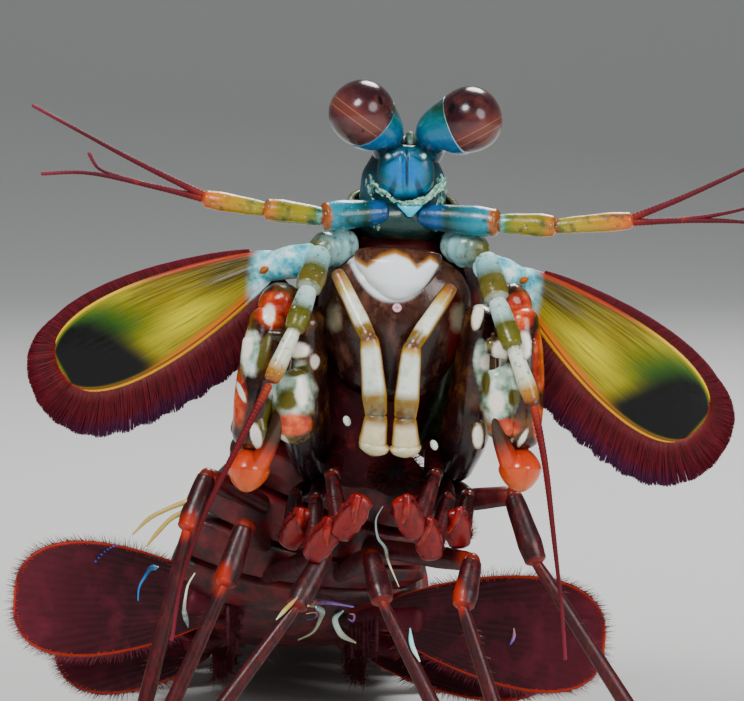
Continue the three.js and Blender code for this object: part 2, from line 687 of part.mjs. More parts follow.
piece("underbody", finishes.brownShell, underbody);
piece("carapace", finishes.oliveShell, carapace);
piece("head", finishes.blueShell, head);
piece("head_shield", finishes.blueShell, headShield);
piece("face", finishes.brownShell, face);
piece("thorax_front", finishes.oliveShell, (grow) => thoraxRings(carapaceEnd - 0.4, 41, grow));
piece("thorax_rear", finishes.oliveShell, (grow) => thoraxRings(41, thoraxEnd, grow));
for (let i = 0; i < ringCount; i++) {
  piece(`abdomen_${i + 1}`, finishes.oliveShell, (grow) => abdomenRing(i, grow));
}
piece("telson", finishes.oliveShell, telson);
for (const [side, sign] of sides) {
  piece(`cornea_${side}`, finishes.cornea, (grow) => cornea(side, grow));
  piece(`eyestalk_${side}`, finishes.blueShell, (grow) => eyestalk(side, grow));
  piece(`antennule_${side}`, finishes.bandedShell, (grow) => antennule(side, grow));
  piece(`antenna_${side}`, finishes.bandedShell, (grow) => antenna(side, grow));
  piece(`antenna_whip_${side}`, finishes.whip, (grow) => antennaWhip(side, grow));
  piece(`maxilliped_1_${side}`, finishes.bandedShell, (grow) => firstMaxilliped(side, grow));
  piece(`claw_merus_${side}`, finishes.paleShell, (grow) => clawMerus(sign, grow));
  piece(`claw_propodus_${side}`, finishes.paleShell, (grow) => clawPropodus(sign, grow));
  piece(`claw_dactyl_${side}`, finishes.hammer, (grow) => clawDactyl(sign, grow));
  piece(`antennal_scale_${side}`, finishes.paddle, (grow) => antennalScale(side, grow));
  maxillipeds.forEach((_, i) => {
    piece(`maxilliped_${i + 3}_${side}`, finishes.redShell, (grow) => maxilliped(i, sign, grow));
  });
  legs.forEach((_, i) => {
    piece(`walking_leg_${i + 1}_${side}`, finishes.maroonShell, (grow) => walkingLeg(i, side, sign, grow));
  });
  pleopods.forEach((_, i) => {
    piece(`pleopod_${i + 1}_${side}`, finishes.leaf, (grow) => pleopod(i, side, sign, grow));
  });
  piece(`uropod_${side}`, finishes.oliveShell, (grow) => uropod(sign, grow));
}

// Everything below the resting plane is cut away, which leaves small flats at one level.
const underground = solid(new THREE.BoxGeometry(400, 400, 40).translate(0, 0, -20));

const touch = (a, b) => [0, 1, 2].every((k) => a.min[k] <= b.max[k] && a.max[k] >= b.min[k]);
const largest = (whole) => whole.decompose().reduce((a, b) => (b.volume() > a.volume() ? b : a));

const group = new THREE.Group();
const grown = [];
for (const { name, material, make } of makers) {
  const whole = make(0);
  const near = grown.filter((other) => touch(other.boundingBox(), whole.boundingBox()));
  const cleared = [underground, ...near].reduce((rest, other) => rest.subtract(other), whole);
  const { vertProperties, triVerts, numProp } = largest(cleared).getMesh();
  const positions = new Float32Array((vertProperties.length / numProp) * 3);
  for (let i = 0; i < positions.length; i++) {
    positions[i] = vertProperties[Math.floor(i / 3) * numProp + (i % 3)];
  }
  const geometry = new THREE.BufferGeometry();
  geometry.setAttribute("position", new THREE.BufferAttribute(positions, 3));
  geometry.setIndex(new THREE.BufferAttribute(triVerts, 1));
  const mesh = new THREE.Mesh(geometry, material);
  mesh.name = name;
  group.add(mesh);
  grown.push(make(gap));
}

// The origin goes to the resting plane under the telson.
group.position.copy(telsonCentre).negate();

export default group;
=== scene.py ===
"""A peacock mantis shrimp at life size, reared up in front of its own abdomen.

Lengths are millimetres in the animal's own frame, where the animal faces -Y with its left side towards
+X, and row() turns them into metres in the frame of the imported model. The animal's right side is the
"right" of every name, and lies towards -X.
"""

import math

import bpy
import numpy as np
from bpy.props import FloatProperty, FloatVectorProperty, IntProperty, PointerProperty
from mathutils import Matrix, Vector


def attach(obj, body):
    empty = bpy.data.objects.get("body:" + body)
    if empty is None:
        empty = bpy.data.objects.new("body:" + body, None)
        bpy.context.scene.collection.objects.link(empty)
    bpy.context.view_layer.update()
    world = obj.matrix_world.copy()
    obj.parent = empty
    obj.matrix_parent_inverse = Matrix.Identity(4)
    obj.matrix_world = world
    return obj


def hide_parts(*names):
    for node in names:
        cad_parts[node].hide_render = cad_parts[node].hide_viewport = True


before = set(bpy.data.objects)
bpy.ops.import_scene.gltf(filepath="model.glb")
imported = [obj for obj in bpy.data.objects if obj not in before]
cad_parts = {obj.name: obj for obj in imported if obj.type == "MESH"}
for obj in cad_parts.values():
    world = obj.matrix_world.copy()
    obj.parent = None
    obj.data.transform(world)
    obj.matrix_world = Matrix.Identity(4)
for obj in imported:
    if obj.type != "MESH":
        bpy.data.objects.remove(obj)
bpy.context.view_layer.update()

bl_info = {
    "name": "Mantis Shrimp",
    "version": (1, 0, 0),
    "blender": (4, 5, 0),
    "location": "View3D > Sidebar > Shrimp",
    "description": "Builds a peacock mantis shrimp with its stage",
    "category": "Add Mesh",
}

MM = 0.001
TURN = 2 * math.pi
ACROSS = np.array([1.0, 0.0, 0.0])
UP = np.array([0.0, 0.0, 1.0])
FORWARD = np.array([0.0, -1.0, 0.0])
SIDES = {"right": -1, "left": 1}

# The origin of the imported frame.
TELSON = np.array([-7.6, 101.5, 0.0])
# The picture in pixels, its width at the head, and the camera that sees it so.
PICTURE = (744, 701)
FIELD = 78.1
STEP = FIELD / PICTURE[0]
TILT = math.radians(5)
TARGET = np.array([-2.94, -5.0, 43.8])
CAMERA_DISTANCE = 450.0
CAMERA_BACK = np.array([0, -math.cos(TILT), math.sin(TILT)])
CAMERA_UP = np.array([0, math.sin(TILT), math.cos(TILT)])
CAMERA = TARGET + CAMERA_DISTANCE * CAMERA_BACK


# Places and paths.


def row(points):
    """Points of the animal's own frame in millimetres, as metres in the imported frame."""
    return (np.asarray(points, float) - TELSON) * MM


def photo(px, py, y=-5.0):
    """The place at depth y that the camera's ray through picture position px, py meets."""
    px, py = np.broadcast_arrays(np.asarray(px, float), np.asarray(py, float))
    over, up = (px - PICTURE[0] / 2) * STEP, (PICTURE[1] / 2 - py) * STEP
    ray = TARGET + (over[..., None] * ACROSS + up[..., None] * CAMERA_UP) - CAMERA
    return CAMERA + ray * ((y - CAMERA[1]) / ray[..., 1])[..., None]


def picture(points):
    """Where points lie in the picture, as px and py."""
    off = points - TARGET
    near_by = CAMERA_DISTANCE / (CAMERA_DISTANCE - off @ CAMERA_BACK)
    px = PICTURE[0] / 2 + off[:, 0] * near_by / STEP
    return px, PICTURE[1] / 2 - (off @ CAMERA_UP) * near_by / STEP


def unit(v):
    return v / np.maximum(np.linalg.norm(v, axis=-1, keepdims=True), 1e-12)


def smooth(x, low, high):
    """0 below low, 1 above high and an S-curve between. low may be the greater one."""
    t = np.clip((x - low) / (high - low), 0, 1)
    return t * t * (3 - 2 * t)


def near(x, centre, half, soft):
    """1 within half of centre, falling to 0 over the next stretch of soft."""
    return smooth(np.abs(x - centre), half + soft, half)

def hill(x, middle, half):
    """A smooth bump: 1 at middle and 0.37 at half to either side."""
    return np.exp(-(((x - middle) / half) ** 2))


def fine_course(points):
    """A dense line along the centripetal Catmull-Rom curve through the points: each span is the cubic
    whose end slopes weigh the neighbouring chords by the square root of their lengths."""
    p = np.asarray(points, float)
    if len(p) == 2:
        return p[0] + (p[1] - p[0]) * np.linspace(0, 1, 65)[:, None]
    q = np.vstack([2 * p[0] - p[1], p, 2 * p[-1] - p[-2]])
    d = np.linalg.norm(np.diff(q, axis=0), axis=1)[:, None] ** 0.5
    a, b, c, e = q[:-3], q[1:-2], q[2:-1], q[3:]
    d0, d1, d2 = d[:-2], d[1:-1], d[2:]
    m1 = ((b - a) / d0 - (c - a) / (d0 + d1) + (c - b) / d1) * d1
    m2 = ((c - b) / d1 - (e - b) / (d1 + d2) + (e - c) / d2) * d1
    t = np.linspace(0, 1, 40, endpoint=False)[None, :, None]
    b, c, m1, m2 = b[:, None], c[:, None], m1[:, None], m2[:, None]
    line = (2 * t**3 - 3 * t**2 + 1) * b + (t**3 - 2 * t**2 + t) * m1
    line = line + (3 * t**2 - 2 * t**3) * c + (t**3 - t**2) * m2
    return np.vstack([line.reshape(-1, 3), p[-1]])


class Course:
    """A curve read at shares of its own length."""

    def __init__(self, points):
        self.line = fine_course(points)
        steps = np.linalg.norm(np.diff(self.line, axis=0), axis=1)
        run = np.concatenate([[0], np.cumsum(steps)])
        self.length = run[-1]
        self.share = run / run[-1]

    def at(self, share):
        return np.stack([np.interp(share, self.share, self.line[:, k]) for k in range(3)], -1)

    def along(self, share):
        ahead, behind = self.at(np.minimum(share + 0.004, 1)), self.at(np.maximum(share - 0.004, 0))
        return unit(ahead - behind)


SPINE = Course(
    [(0.4, 1, 60), (-0.4, 3, 50), (-2.8, 5.5, 40), (-6.4, 9, 30), (-10.2, 14.5, 21), (-12.2, 24, 14)]
    + [(-12.2, 37, 10.4), (-12, 53, 9.6), (-10.8, 69, 9), (-8.8, 85, 7.4), (-7.6, 93.4, 5.8)]
)


def spine(run):
    """The body's axis at a length along it, with its direction."""
    share = np.asarray(run, float) / SPINE.length
    return SPINE.at(share), SPINE.along(share)


def under(run, side, out, down):
    """A point out to one side of the axis and down towards the belly."""
    at, back = spine(run)
    return at + np.array([side * out, 0, 0]) + unit(np.cross(back, ACROSS)) * down


def midline(z):
    """The x of the body's middle plane at a height: it leans above 30 and curves away below."""
    return 0.5 + (z - 62.8) * 0.07 if z > 30 else -1.8 - 0.019 * (30 - z) ** 2


def beside(side, out, y, z):
    """A point to one side of the middle plane."""
    return np.array([midline(z) + side * out, y, z])


# Forms: a form is a dict of points, four-cornered faces, three-cornered faces and marks on the points.


def form(points, quads, tris, **marks):
    shaped = {k: np.broadcast_to(np.asarray(v, float), (len(points),)).copy() for k, v in marks.items()}
    return {"points": points, "quads": quads, "tris": tris, "marks": shaped}


def gather(forms):
    """Several forms as one. A mark that a form doesn't have is 0 there."""
    names = sorted({name for f in forms for name in f["marks"]})
    starts = np.cumsum([0] + [len(f["points"]) for f in forms])
    return {
        "points": np.vstack([f["points"] for f in forms]),
        "quads": np.vstack([f["quads"] + s for f, s in zip(forms, starts)]),
        "tris": np.vstack([f["tris"] + s for f, s in zip(forms, starts)]),
        "marks": {
            name: np.concatenate([f["marks"].get(name, np.zeros(len(f["points"]))) for f in forms])
            for name in names
        },
    }


def closed_grid(grid, first, last):
    """Faces over rings of points that close to a pole at each end, all facing outwards."""
    rings, sides = grid.shape[:2]
    corner = np.arange(rings * sides).reshape(rings, sides)
    onward = np.roll(corner, -1, axis=1)
    quads = np.stack([corner[:-1], corner[1:], onward[1:], onward[:-1]], -1).reshape(-1, 4)
    points = np.vstack([grid.reshape(-1, 3), first, last])
    low, high = rings * sides, rings * sides + 1
    front = np.stack([np.full(sides, low), corner[0], onward[0]], -1)
    back = np.stack([np.full(sides, high), onward[-1], corner[-1]], -1)
    return points, quads, np.vstack([front, back])


def round_section(angle):
    return np.cos(angle), np.sin(angle)


def arched_section(angle):
    """A high arched back, a flatter belly and side plates that hang lower."""
    c, s = np.cos(angle), np.sin(angle)
    up = np.where(s > 0, np.abs(s) ** 0.9, 0.66 * s)
    return np.sign(c) * np.abs(c) ** 0.8, up - 0.2 * np.abs(c) ** 6


def tube(
    points, sizes, wide=ACROSS, rows=40, sides=24, blunt=0.8, section=round_section, relief=None, **marks
):
    """A rounded body along a curve: half width and half depth at even steps of its length in sizes, each
    end closed by a quarter ellipse, and relief(share, angle) a factor on its radius."""
    course = points if isinstance(points, Course) else Course(points)
    pairs = np.array([s if isinstance(s, (list, tuple)) else (s, s) for s in sizes], float)
    caps = [min(blunt * pairs[i].min() / course.length, 0.45) for i in (0, -1)]
    turn = np.linspace(0, math.pi / 2, 8)[1:]
    share = np.concatenate(
        [
            caps[0] * (1 - np.cos(turn)),
            np.linspace(caps[0], 1 - caps[1], rows)[1:-1],
            1 - caps[1] * (1 - np.cos(turn))[::-1],
        ]
    )
    full = np.concatenate([np.sin(turn), np.ones(rows - 2), np.sin(turn)[::-1]])
    steps = np.linspace(0, 1, len(pairs))
    ease = np.linspace(0, 1, 200)
    kernel = np.hanning(31)[1:-1] / np.hanning(31).sum()
    half = []
    for k in (0, 1):
        line = np.pad(np.interp(ease, steps, pairs[:, k]), 14, mode="edge")
        half.append(np.interp(share, ease, np.convolve(line, kernel, "valid")) * full)
    at, along = course.at(share), course.along(share)
    across = unit(wide - along * (along @ wide)[:, None])
    deep = np.cross(across, along)
    angle = np.linspace(0, TURN, sides, endpoint=False)
    a, b = section(angle)
    factor = 1.0 if relief is None else relief(share[:, None], angle[None, :])
    grid = at[:, None] + across[:, None] * (half[0][:, None] * a * factor)[..., None]
    grid = grid + deep[:, None] * (half[1][:, None] * b * factor)[..., None]
    made, quads, tris = closed_grid(grid, course.at(0.0), course.at(1.0))
    shape = grid.shape[:2]
    own = {
        "along": np.append(np.broadcast_to(share[:, None], shape), [0, 1]),
        "across": np.append(np.broadcast_to(a, shape), [0, 0]),
        "raised": np.append(np.broadcast_to(b, shape), [0, 0]),
    }
    return form(made, quads, tris, **own, **marks)


def bulb(start, end, half_width, half_depth, **options):
    waist = (half_width * 0.72, half_depth * 0.72)
    sizes = [waist, (half_width, half_depth), waist]
    return tube([start, end], sizes, **{"blunt": 1.1, "rows": 16, **options})


def limb(points, halves, rows, sides=36, wide=ACROSS, grooves=0.03):
    """Jointed segments: each swells towards its far end and has a pinched neck and raised lips, with a
    soft round hinge between neighbours. The mark along runs from 0 to 1 over the whole limb."""

    def relief(share, angle):
        lips = 0.06 * hill(share, 0.93, 0.03) + 0.05 * hill(share, 0.07, 0.03)
        return 1 + lips + grooves * np.cos(3 * angle + 1.0) * np.sin(math.pi * share)

    made = []
    for i, size in enumerate(halves):
        w, d = size if isinstance(size, tuple) else (size, size)
        start, end = np.array(points[i : i + 2], float)
        run = unit(end - start)
        profile = [(k * w, k * d) for k in (0.66, 0.86, 0.92, 0.95, 1.0, 1.06, 0.98, 0.8)]
        ends = [start - run * 0.3 * w, end + run * 0.15 * w]
        part = tube(ends, profile, wide, rows=rows, sides=sides, blunt=0.55, relief=relief)
        part["marks"]["along"] = (i + part["marks"]["along"]) / len(halves)
        made.append(part)
        if i:
            half = run * 0.8 * d
            hinge = bulb(start - half, start + half, 0.72 * w, 0.72 * d, wide=wide, sides=16, hinge=1)
            hinge["marks"]["along"][:] = i / len(halves)
            made.append(hinge)
    return gather(made)


def whip(points, root, pitch=0.42):
    """A tapering lash made of many short rings, each a little wider at its far lip."""
    course = Course(points)
    count = course.length / pitch
    sizes = [root, root * 0.72, root * 0.5, 0.2]

    def relief(share, angle):
        return 0.93 + 0.16 * ((share * count) % 1.0) ** 2

    return tube(course, sizes, rows=int(count * 5), sides=10, relief=relief)


def egg(u):
    """How wide a paddle is at a share of its length, from -1 at its root to 1."""
    return (np.maximum(1 - u * u, 0)) ** 0.4 * (1 + 0.4 * u) / 1.083


def blade_frame(blade):
    start, end = np.asarray(blade["from"], float), np.asarray(blade["to"], float)
    along = unit(end - start)
    across = unit(blade["wide"] - along * (along @ blade["wide"]))
    return start, end, along, across, np.cross(across, along)


def paddle(blade, rows, sides, relief):
    """An egg-shaped blade, lens-shaped in section: half width half*egg(u), half depth falling as
    1-u^4/2 along it and as 1-v^2 across it. relief(u, v) is a factor on its depth."""
    start, end, along, across, deep = blade_frame(blade)
    u = -np.cos(np.linspace(0, math.pi, rows + 2)[1:-1])
    angle = np.linspace(0, TURN, sides, endpoint=False)
    v = np.cos(angle)
    width = blade["half"] * egg(u)[:, None] * v
    depth = blade["depth"] * (1 - 0.5 * u**4)[:, None] * np.sin(angle) * (1 - u**8)[:, None] ** 0.5
    depth = depth * relief(u[:, None], v[None, :])
    centre = start + (end - start) * ((u + 1) / 2)[:, None]
    grid = centre[:, None] + across * width[..., None] + deep * depth[..., None]
    made, quads, tris = closed_grid(grid, start, end)
    lengthwise = np.append(np.broadcast_to(u[:, None], grid.shape[:2]), [-1, 1])
    crosswise = np.append(np.broadcast_to(v, grid.shape[:2]), [0, 0])
    return form(made, quads, tris, along=lengthwise, across=crosswise)


def edge_of(blade, angle):
    """A point of a paddle's edge: the angle is 0 at its end and positive on the side of wide."""
    start, end, along, across, deep = blade_frame(blade)
    u = np.cos(angle)
    side = (np.sign(angle) * blade["half"] * egg(u))[:, None]
    return start + (end - start) * ((u + 1) / 2)[:, None] + across * side


def hairs(roots, ways, lengths, radius, bend=None, steps=4, taper=0.12, seeds=None):
    """Many tapering bristles at once. Each is a stack of small rings along root + way*length*s + bend*s^2
    that narrows to taper of its radius, closed by a point at both ends."""
    count, corners = len(roots), 3
    s = np.linspace(0, 1, steps)[None, :, None]
    bend = np.zeros((count, 3)) if bend is None else bend
    lengths = np.broadcast_to(lengths, (count,))[:, None, None]
    radius = np.broadcast_to(radius, (count,))[:, None, None, None]
    line = roots[:, None] + ways[:, None] * lengths * s + bend[:, None] * s**2
    helper = np.where(np.abs(ways[:, 2:3]) < 0.8, UP, ACROSS)
    a = unit(np.cross(ways, helper))
    b = np.cross(ways, a)
    angle = np.linspace(0, TURN, corners, endpoint=False)
    ring = a[:, None, None] * np.cos(angle)[:, None] + b[:, None, None] * np.sin(angle)[:, None]
    thick = radius * (1 - (1 - taper) * s[..., None])
    body = line[:, :, None] + ring * thick
    tips = np.stack([line[:, 0] - ways * 0.02, line[:, -1] + ways * 0.03], 1)
    each = steps * corners + 2
    points = np.concatenate([body.reshape(count, -1, 3), tips], 1).reshape(-1, 3)
    corner = np.arange(steps * corners).reshape(steps, corners)
    onward = np.roll(corner, -1, axis=1)
    quads = np.stack([corner[:-1], onward[:-1], onward[1:], corner[1:]], -1).reshape(-1, 4)
    ends = [
        np.stack([np.full(corners, each - 2), onward[0], corner[0]], -1),
        np.stack([np.full(corners, each - 1), corner[-1], onward[-1]], -1),
    ]
    offset = (np.arange(count) * each)[:, None, None]
    pick = np.linspace(0, 1, count) if seeds is None else seeds
    tip_share = np.concatenate([np.repeat(np.linspace(0, 1, steps), corners), [0, 1]])
    return form(
        points,
        (quads[None] + offset).reshape(-1, 4),
        (np.vstack(ends)[None] + offset).reshape(-1, 3),
        along=np.tile(tip_share, count),
        pick=np.repeat(pick, each),
    )


def bristles_on(course, runs, outward, length, radius, seed, spread=0.35):
    """Bristles standing on a curve at given shares of it and leaning along it."""
    draw = np.random.default_rng(seed)
    ways = unit(outward + course.along(runs) * 0.4 + draw.normal(0, spread, (len(runs), 3)))
    reach = length * draw.uniform(0.6, 1.0, len(runs))
    return hairs(course.at(runs), ways, reach, radius, seeds=draw.uniform(0, 1, len(runs)))


def grounded(made):
    """The form with nothing below the floor."""
    made["points"][:, 2] = np.maximum(made["points"][:, 2], 0)
    return made


def bake_marks(made, angle):
    """Gives each bristle its own small patch at its root's place on the flattened blade."""
    each = len(made["points"]) // len(angle)
    flat_u = np.repeat((np.cos(angle) + 1) / 2, each) * 0.99
    flat_v = np.repeat(0.5 + 0.45 * np.sign(angle) * egg(np.cos(angle)), each) * 0.99
    made["marks"]["bake_u"] = flat_u + 0.003 * np.tile(np.arange(each) % 3 / 2, len(angle))
    made["marks"]["bake_v"] = flat_v + 0.003 * made["marks"]["along"]


def patches(made, ovals):
    """Marks from soft ovals seen from the front: each has its middle, half sizes and turn in the
    picture, and fades from 0.4 to 1.35 of its size."""
    px, py = picture(made["points"])
    for name, group in ovals.items():
        share = np.zeros(len(px))
        for x, y, wide, tall, turn in group:
            across = (px - x) * math.cos(turn) + (py - y) * math.sin(turn)
            down = (py - y) * math.cos(turn) - (px - x) * math.sin(turn)
            share = np.maximum(share, smooth(np.hypot(across / wide, down / tall), 1.35, 0.4))
        made["marks"][name] = share
    return made


def front_of(px, py, names):
    """The place on the front of the named pieces that lies behind each picture position."""
    meshes = [bpy.data.objects[f"{name}_look"].data for name in names]
    found = []
    for mesh in meshes:
        flat = np.empty(len(mesh.vertices) * 3, np.float32)
        mesh.vertices.foreach_get("co", flat)
        found.append(flat.reshape(-1, 3) / MM + TELSON)
    points = np.vstack(found)
    at_x, at_y = picture(points)
    places = []
    for x, y in zip(px, py):
        far = np.hypot(at_x - x, at_y - y)
        close = far < max(7.0, far.min() + 2)
        places.append(photo(x, y, points[close, 1].min()))
    return np.array(places)


def wave(points, size, seed):
    """A smooth bumpy value from -1 to 1 at each point: sines in several turned directions, in three
    layers, each twice as fine and half as strong as the one before."""
    draw = np.random.default_rng(seed)
    total = np.zeros(len(points))
    for layer in range(3):
        ways = unit(draw.normal(size=(5, 3))) * TURN / (size / 2**layer)
        phase = draw.uniform(0, TURN, 5)
        total += np.sin(points @ ways.T + phase).mean(1) / 2**layer
    return total / 1.2


# Materials.


def linear(code):
    """A colour written as sRGB hex, as the linear value that a shader takes."""
    values = [int(code[i : i + 2], 16) / 255 for i in (1, 3, 5)]
    turned = [v / 12.92 if v <= 0.04045 else ((v + 0.055) / 1.055) ** 2.4 for v in values]
    return (*turned, 1.0)


def node(tree, kind, inputs=None, **settings):
    """Adds a node: settings are its own fields, and inputs are values or outputs of other nodes."""
    made = tree.nodes.new(kind)
    for key, value in settings.items():
        setattr(made, key, value)
    for key, value in (inputs or {}).items():
        if isinstance(value, bpy.types.NodeSocket):
            tree.links.new(value, made.inputs[key])
        else:
            made.inputs[key].default_value = value
    return made


def mark(tree, name):
    return node(tree, "ShaderNodeAttribute", attribute_name=name).outputs["Fac"]


def ramp(tree, source, stops):
    """The source read off a row of (place, colour or grey) stops."""
    made = node(tree, "ShaderNodeValToRGB", {"Fac": source})
    for i, (place, value) in enumerate(stops):
        stop = made.color_ramp.elements[i] if i < 2 else made.color_ramp.elements.new(place)
        stop.position = place
        shades = (value, value, value) if isinstance(value, float) else tuple(value)[:3]
        stop.color = linear(value) if isinstance(value, str) else (*shades, 1)
    return made.outputs["Color"]


def grain(tree, size, detail=3.0, stretch=(1, 1, 1), place=None):
    """Noise over the object's own place, with blobs about size millimetres across."""
    place = place or node(tree, "ShaderNodeTexCoord").outputs["Object"]
    scale = tuple(s / (size * MM) for s in stretch)
    mapped = node(tree, "ShaderNodeMapping", {"Vector": place, "Scale": scale}).outputs[0]
    inputs = {"Vector": mapped, "Scale": 1.0, "Detail": detail, "Roughness": 0.55}
    return node(tree, "ShaderNodeTexNoise", inputs).outputs["Fac"]


def clouds(tree, size, stops, detail=4.0, stretch=(1, 1, 1)):
    """Noise read off stops."""
    return ramp(tree, grain(tree, size, detail, stretch), stops)


def flecks(tree, size, low, high, most=1.0, detail=4.0):
    """How strongly flecks cover a place: none where the noise is below low, most where it is above high."""
    return clouds(tree, size, [(low, 0.0), (high, most)], detail)


def bands(tree, name, size, amount, stops):
    """A mark read off stops, moved up and down by noise so that its edges wander."""
    shift = node(tree, "ShaderNodeMath", {0: grain(tree, size), 1: 0.5}, operation="SUBTRACT").outputs[0]
    inputs = {0: shift, 1: amount, 2: mark(tree, name)}
    return ramp(tree, node(tree, "ShaderNodeMath", inputs, operation="MULTIPLY_ADD").outputs[0], stops)


def ragged(tree, name, size):
    """A mark whose soft edge is broken up by noise."""
    return bands(tree, name, size, 0.6, [(0.25, 0.0), (0.75, 1.0)])


def lay(tree, ground, *layers):
    """Colours laid over the ground in turn. Each layer is a share, or the name of the mark that gives it,
    and a colour that covers the ground where the share is 1."""
    for share, colour in layers:
        share = mark(tree, share) if isinstance(share, str) else share
        colour = linear(colour) if isinstance(colour, str) else colour
        ground = node(tree, "ShaderNodeMix", {0: share, 6: ground, 7: colour}, data_type="RGBA").outputs[2]
    return ground


def banded(stops, *specks):
    """Paint that follows the mark along through stops, then lays specks (colour, size, low, high) on it."""

    def paint(tree):
        layers = [(flecks(tree, size, low, high), code) for code, size, low, high in specks]
        return lay(tree, bands(tree, "along", 1.4, 0.03, stops), *layers)

    return paint


def material(name, paint, depth=0.03, size=0.5, roughness=0.35, patchy=0.12, **constants):
    """A shell-like surface: paint(tree) gives its colour, fine noise of the given size gives a relief of
    depth millimetres, and broader noise makes its gloss uneven."""
    if name in bpy.data.materials:
        return bpy.data.materials[name]
    made = bpy.data.materials.new(name)
    made.use_nodes = True
    tree = made.node_tree
    shader = tree.nodes["Principled BSDF"]
    relief = {"Height": grain(tree, size, 5.0), "Distance": depth * MM, "Strength": 1.0}
    gloss = [(0.3, roughness - patchy), (0.7, roughness + patchy)]
    tree.links.new(paint(tree), shader.inputs["Base Color"])
    tree.links.new(node(tree, "ShaderNodeBump", relief).outputs[0], shader.inputs["Normal"])
    tree.links.new(ramp(tree, grain(tree, size * 4), gloss), shader.inputs["Roughness"])
    for key, value in constants.items():
        shader.inputs[key.replace("_", " ")].default_value = value
    return made


# A film of water, light that enters the cuticle, and a surface that stays dull.
WET = {"Coat_Weight": 0.3, "Coat_Roughness": 0.14, "IOR": 1.45}
SOFT = {"Subsurface_Weight": 0.2, "Subsurface_Radius": (0.003, 0.0012, 0.0008), "Subsurface_Scale": 0.5}
DULL = {"roughness": 0.5, "Specular_IOR_Level": 0.25}


# Pieces.


def piece(name, forms, finish, replaced=None):
    """A mesh object from forms, riding on the body. It stands for the replaced nodes, or else for the
    node of its own name where there is one."""
    whole = gather(forms)
    mesh = bpy.data.meshes.new(name)
    corners = np.concatenate([whole["quads"].ravel(), whole["tris"].ravel()]).astype(np.int32)
    quads, tris = len(whole["quads"]), len(whole["tris"])
    starts = np.concatenate([np.arange(quads) * 4, quads * 4 + np.arange(tris) * 3]).astype(np.int32)
    mesh.vertices.add(len(whole["points"]))
    mesh.loops.add(len(corners))
    mesh.polygons.add(len(starts))
    mesh.vertices.foreach_set("co", row(whole["points"]).astype(np.float32).ravel())
    mesh.loops.foreach_set("vertex_index", corners)
    mesh.polygons.foreach_set("loop_start", starts)
    for key, values in whole["marks"].items():
        if not key.startswith("bake"):
            layer = mesh.attributes.new(key, "FLOAT", "POINT")
            layer.data.foreach_set("value", values.astype(np.float32))
    if "bake_u" in whole["marks"]:
        flat = np.stack([whole["marks"]["bake_u"], whole["marks"]["bake_v"]], -1)[corners]
        mesh.uv_layers.new(name="OFBake").data.foreach_set("uv", flat.astype(np.float32).ravel())
    mesh.update(calc_edges=True)
    mesh.shade_smooth()
    mesh.materials.append(finish)
    made = bpy.data.objects.new(f"{name}_look", mesh)
    bpy.context.collection.objects.link(made)
    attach(made, "root")
    own = [name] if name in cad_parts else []
    if replaced or own:
        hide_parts(*(replaced or own))
    return made


class ShrimpLook(bpy.types.PropertyGroup):
    """The sizes and counts that a user would change."""

    fringe_hairs: IntProperty(
        name="Fringe Hairs", description="Bristles round each antennal scale", default=6200, min=200
    )
    hair_radius: FloatProperty(
        name="Hair Radius", description="Half thickness of a fringe bristle", default=0.00008, unit="LENGTH"
    )
    leg_hairs: IntProperty(name="Leg Hairs", description="Bristles on each walking leg", default=90, min=0)
    shell_colour: FloatVectorProperty(
        name="Shell Colour",
        description="Ground colour of the back",
        default=linear("#46562a")[:3],
        subtype="COLOR",
        size=3,
    )


class StageLook(bpy.types.PropertyGroup):
    """The camera, the floor and the lamps."""

    distance: FloatProperty(
        name="Camera Distance",
        description="From the head to the camera",
        default=CAMERA_DISTANCE * MM,
        unit="LENGTH",
    )
    field: FloatProperty(
        name="Field Width", description="Width of the picture at the head", default=FIELD * MM, unit="LENGTH"
    )
    elevation: FloatProperty(
        name="Camera Elevation", description="How far the camera looks down", default=TILT, subtype="ANGLE"
    )
    floor: FloatProperty(name="Floor Size", description="Side of the floor", default=3.0, unit="LENGTH")
    lamp: FloatProperty(name="Lamp Power", description="Power of the main lamp", default=3.1, unit="POWER")


# The eyes.

# The half width of a cornea.
EYE = 3.45
EYES = {
    "right": {
        "root": (-1.4, -1.4, 64.2),
        "centre": (-4.0, -4.4, 68.7),
        "facing": (-0.58, -0.52, 0.63),
        "over": (0.59, 0, 0.81),
        "bands": (-0.06, -0.3),
        "pupils": [(0.55, -0.72, 0.4, 0.12), (0.04, -0.84, -0.5, 0.045)],
    },
    "left": {
        "root": (2.9, -1.2, 64.0),
        "centre": (7.3, -3.6, 68.0),
        "facing": (0.82, -0.3, 0.38),
        "over": (-0.47, 0, 0.88),
        "bands": (-0.37, -0.58),
        "pupils": [(-0.56, -0.74, 0.36, 0.13)],
    },
}


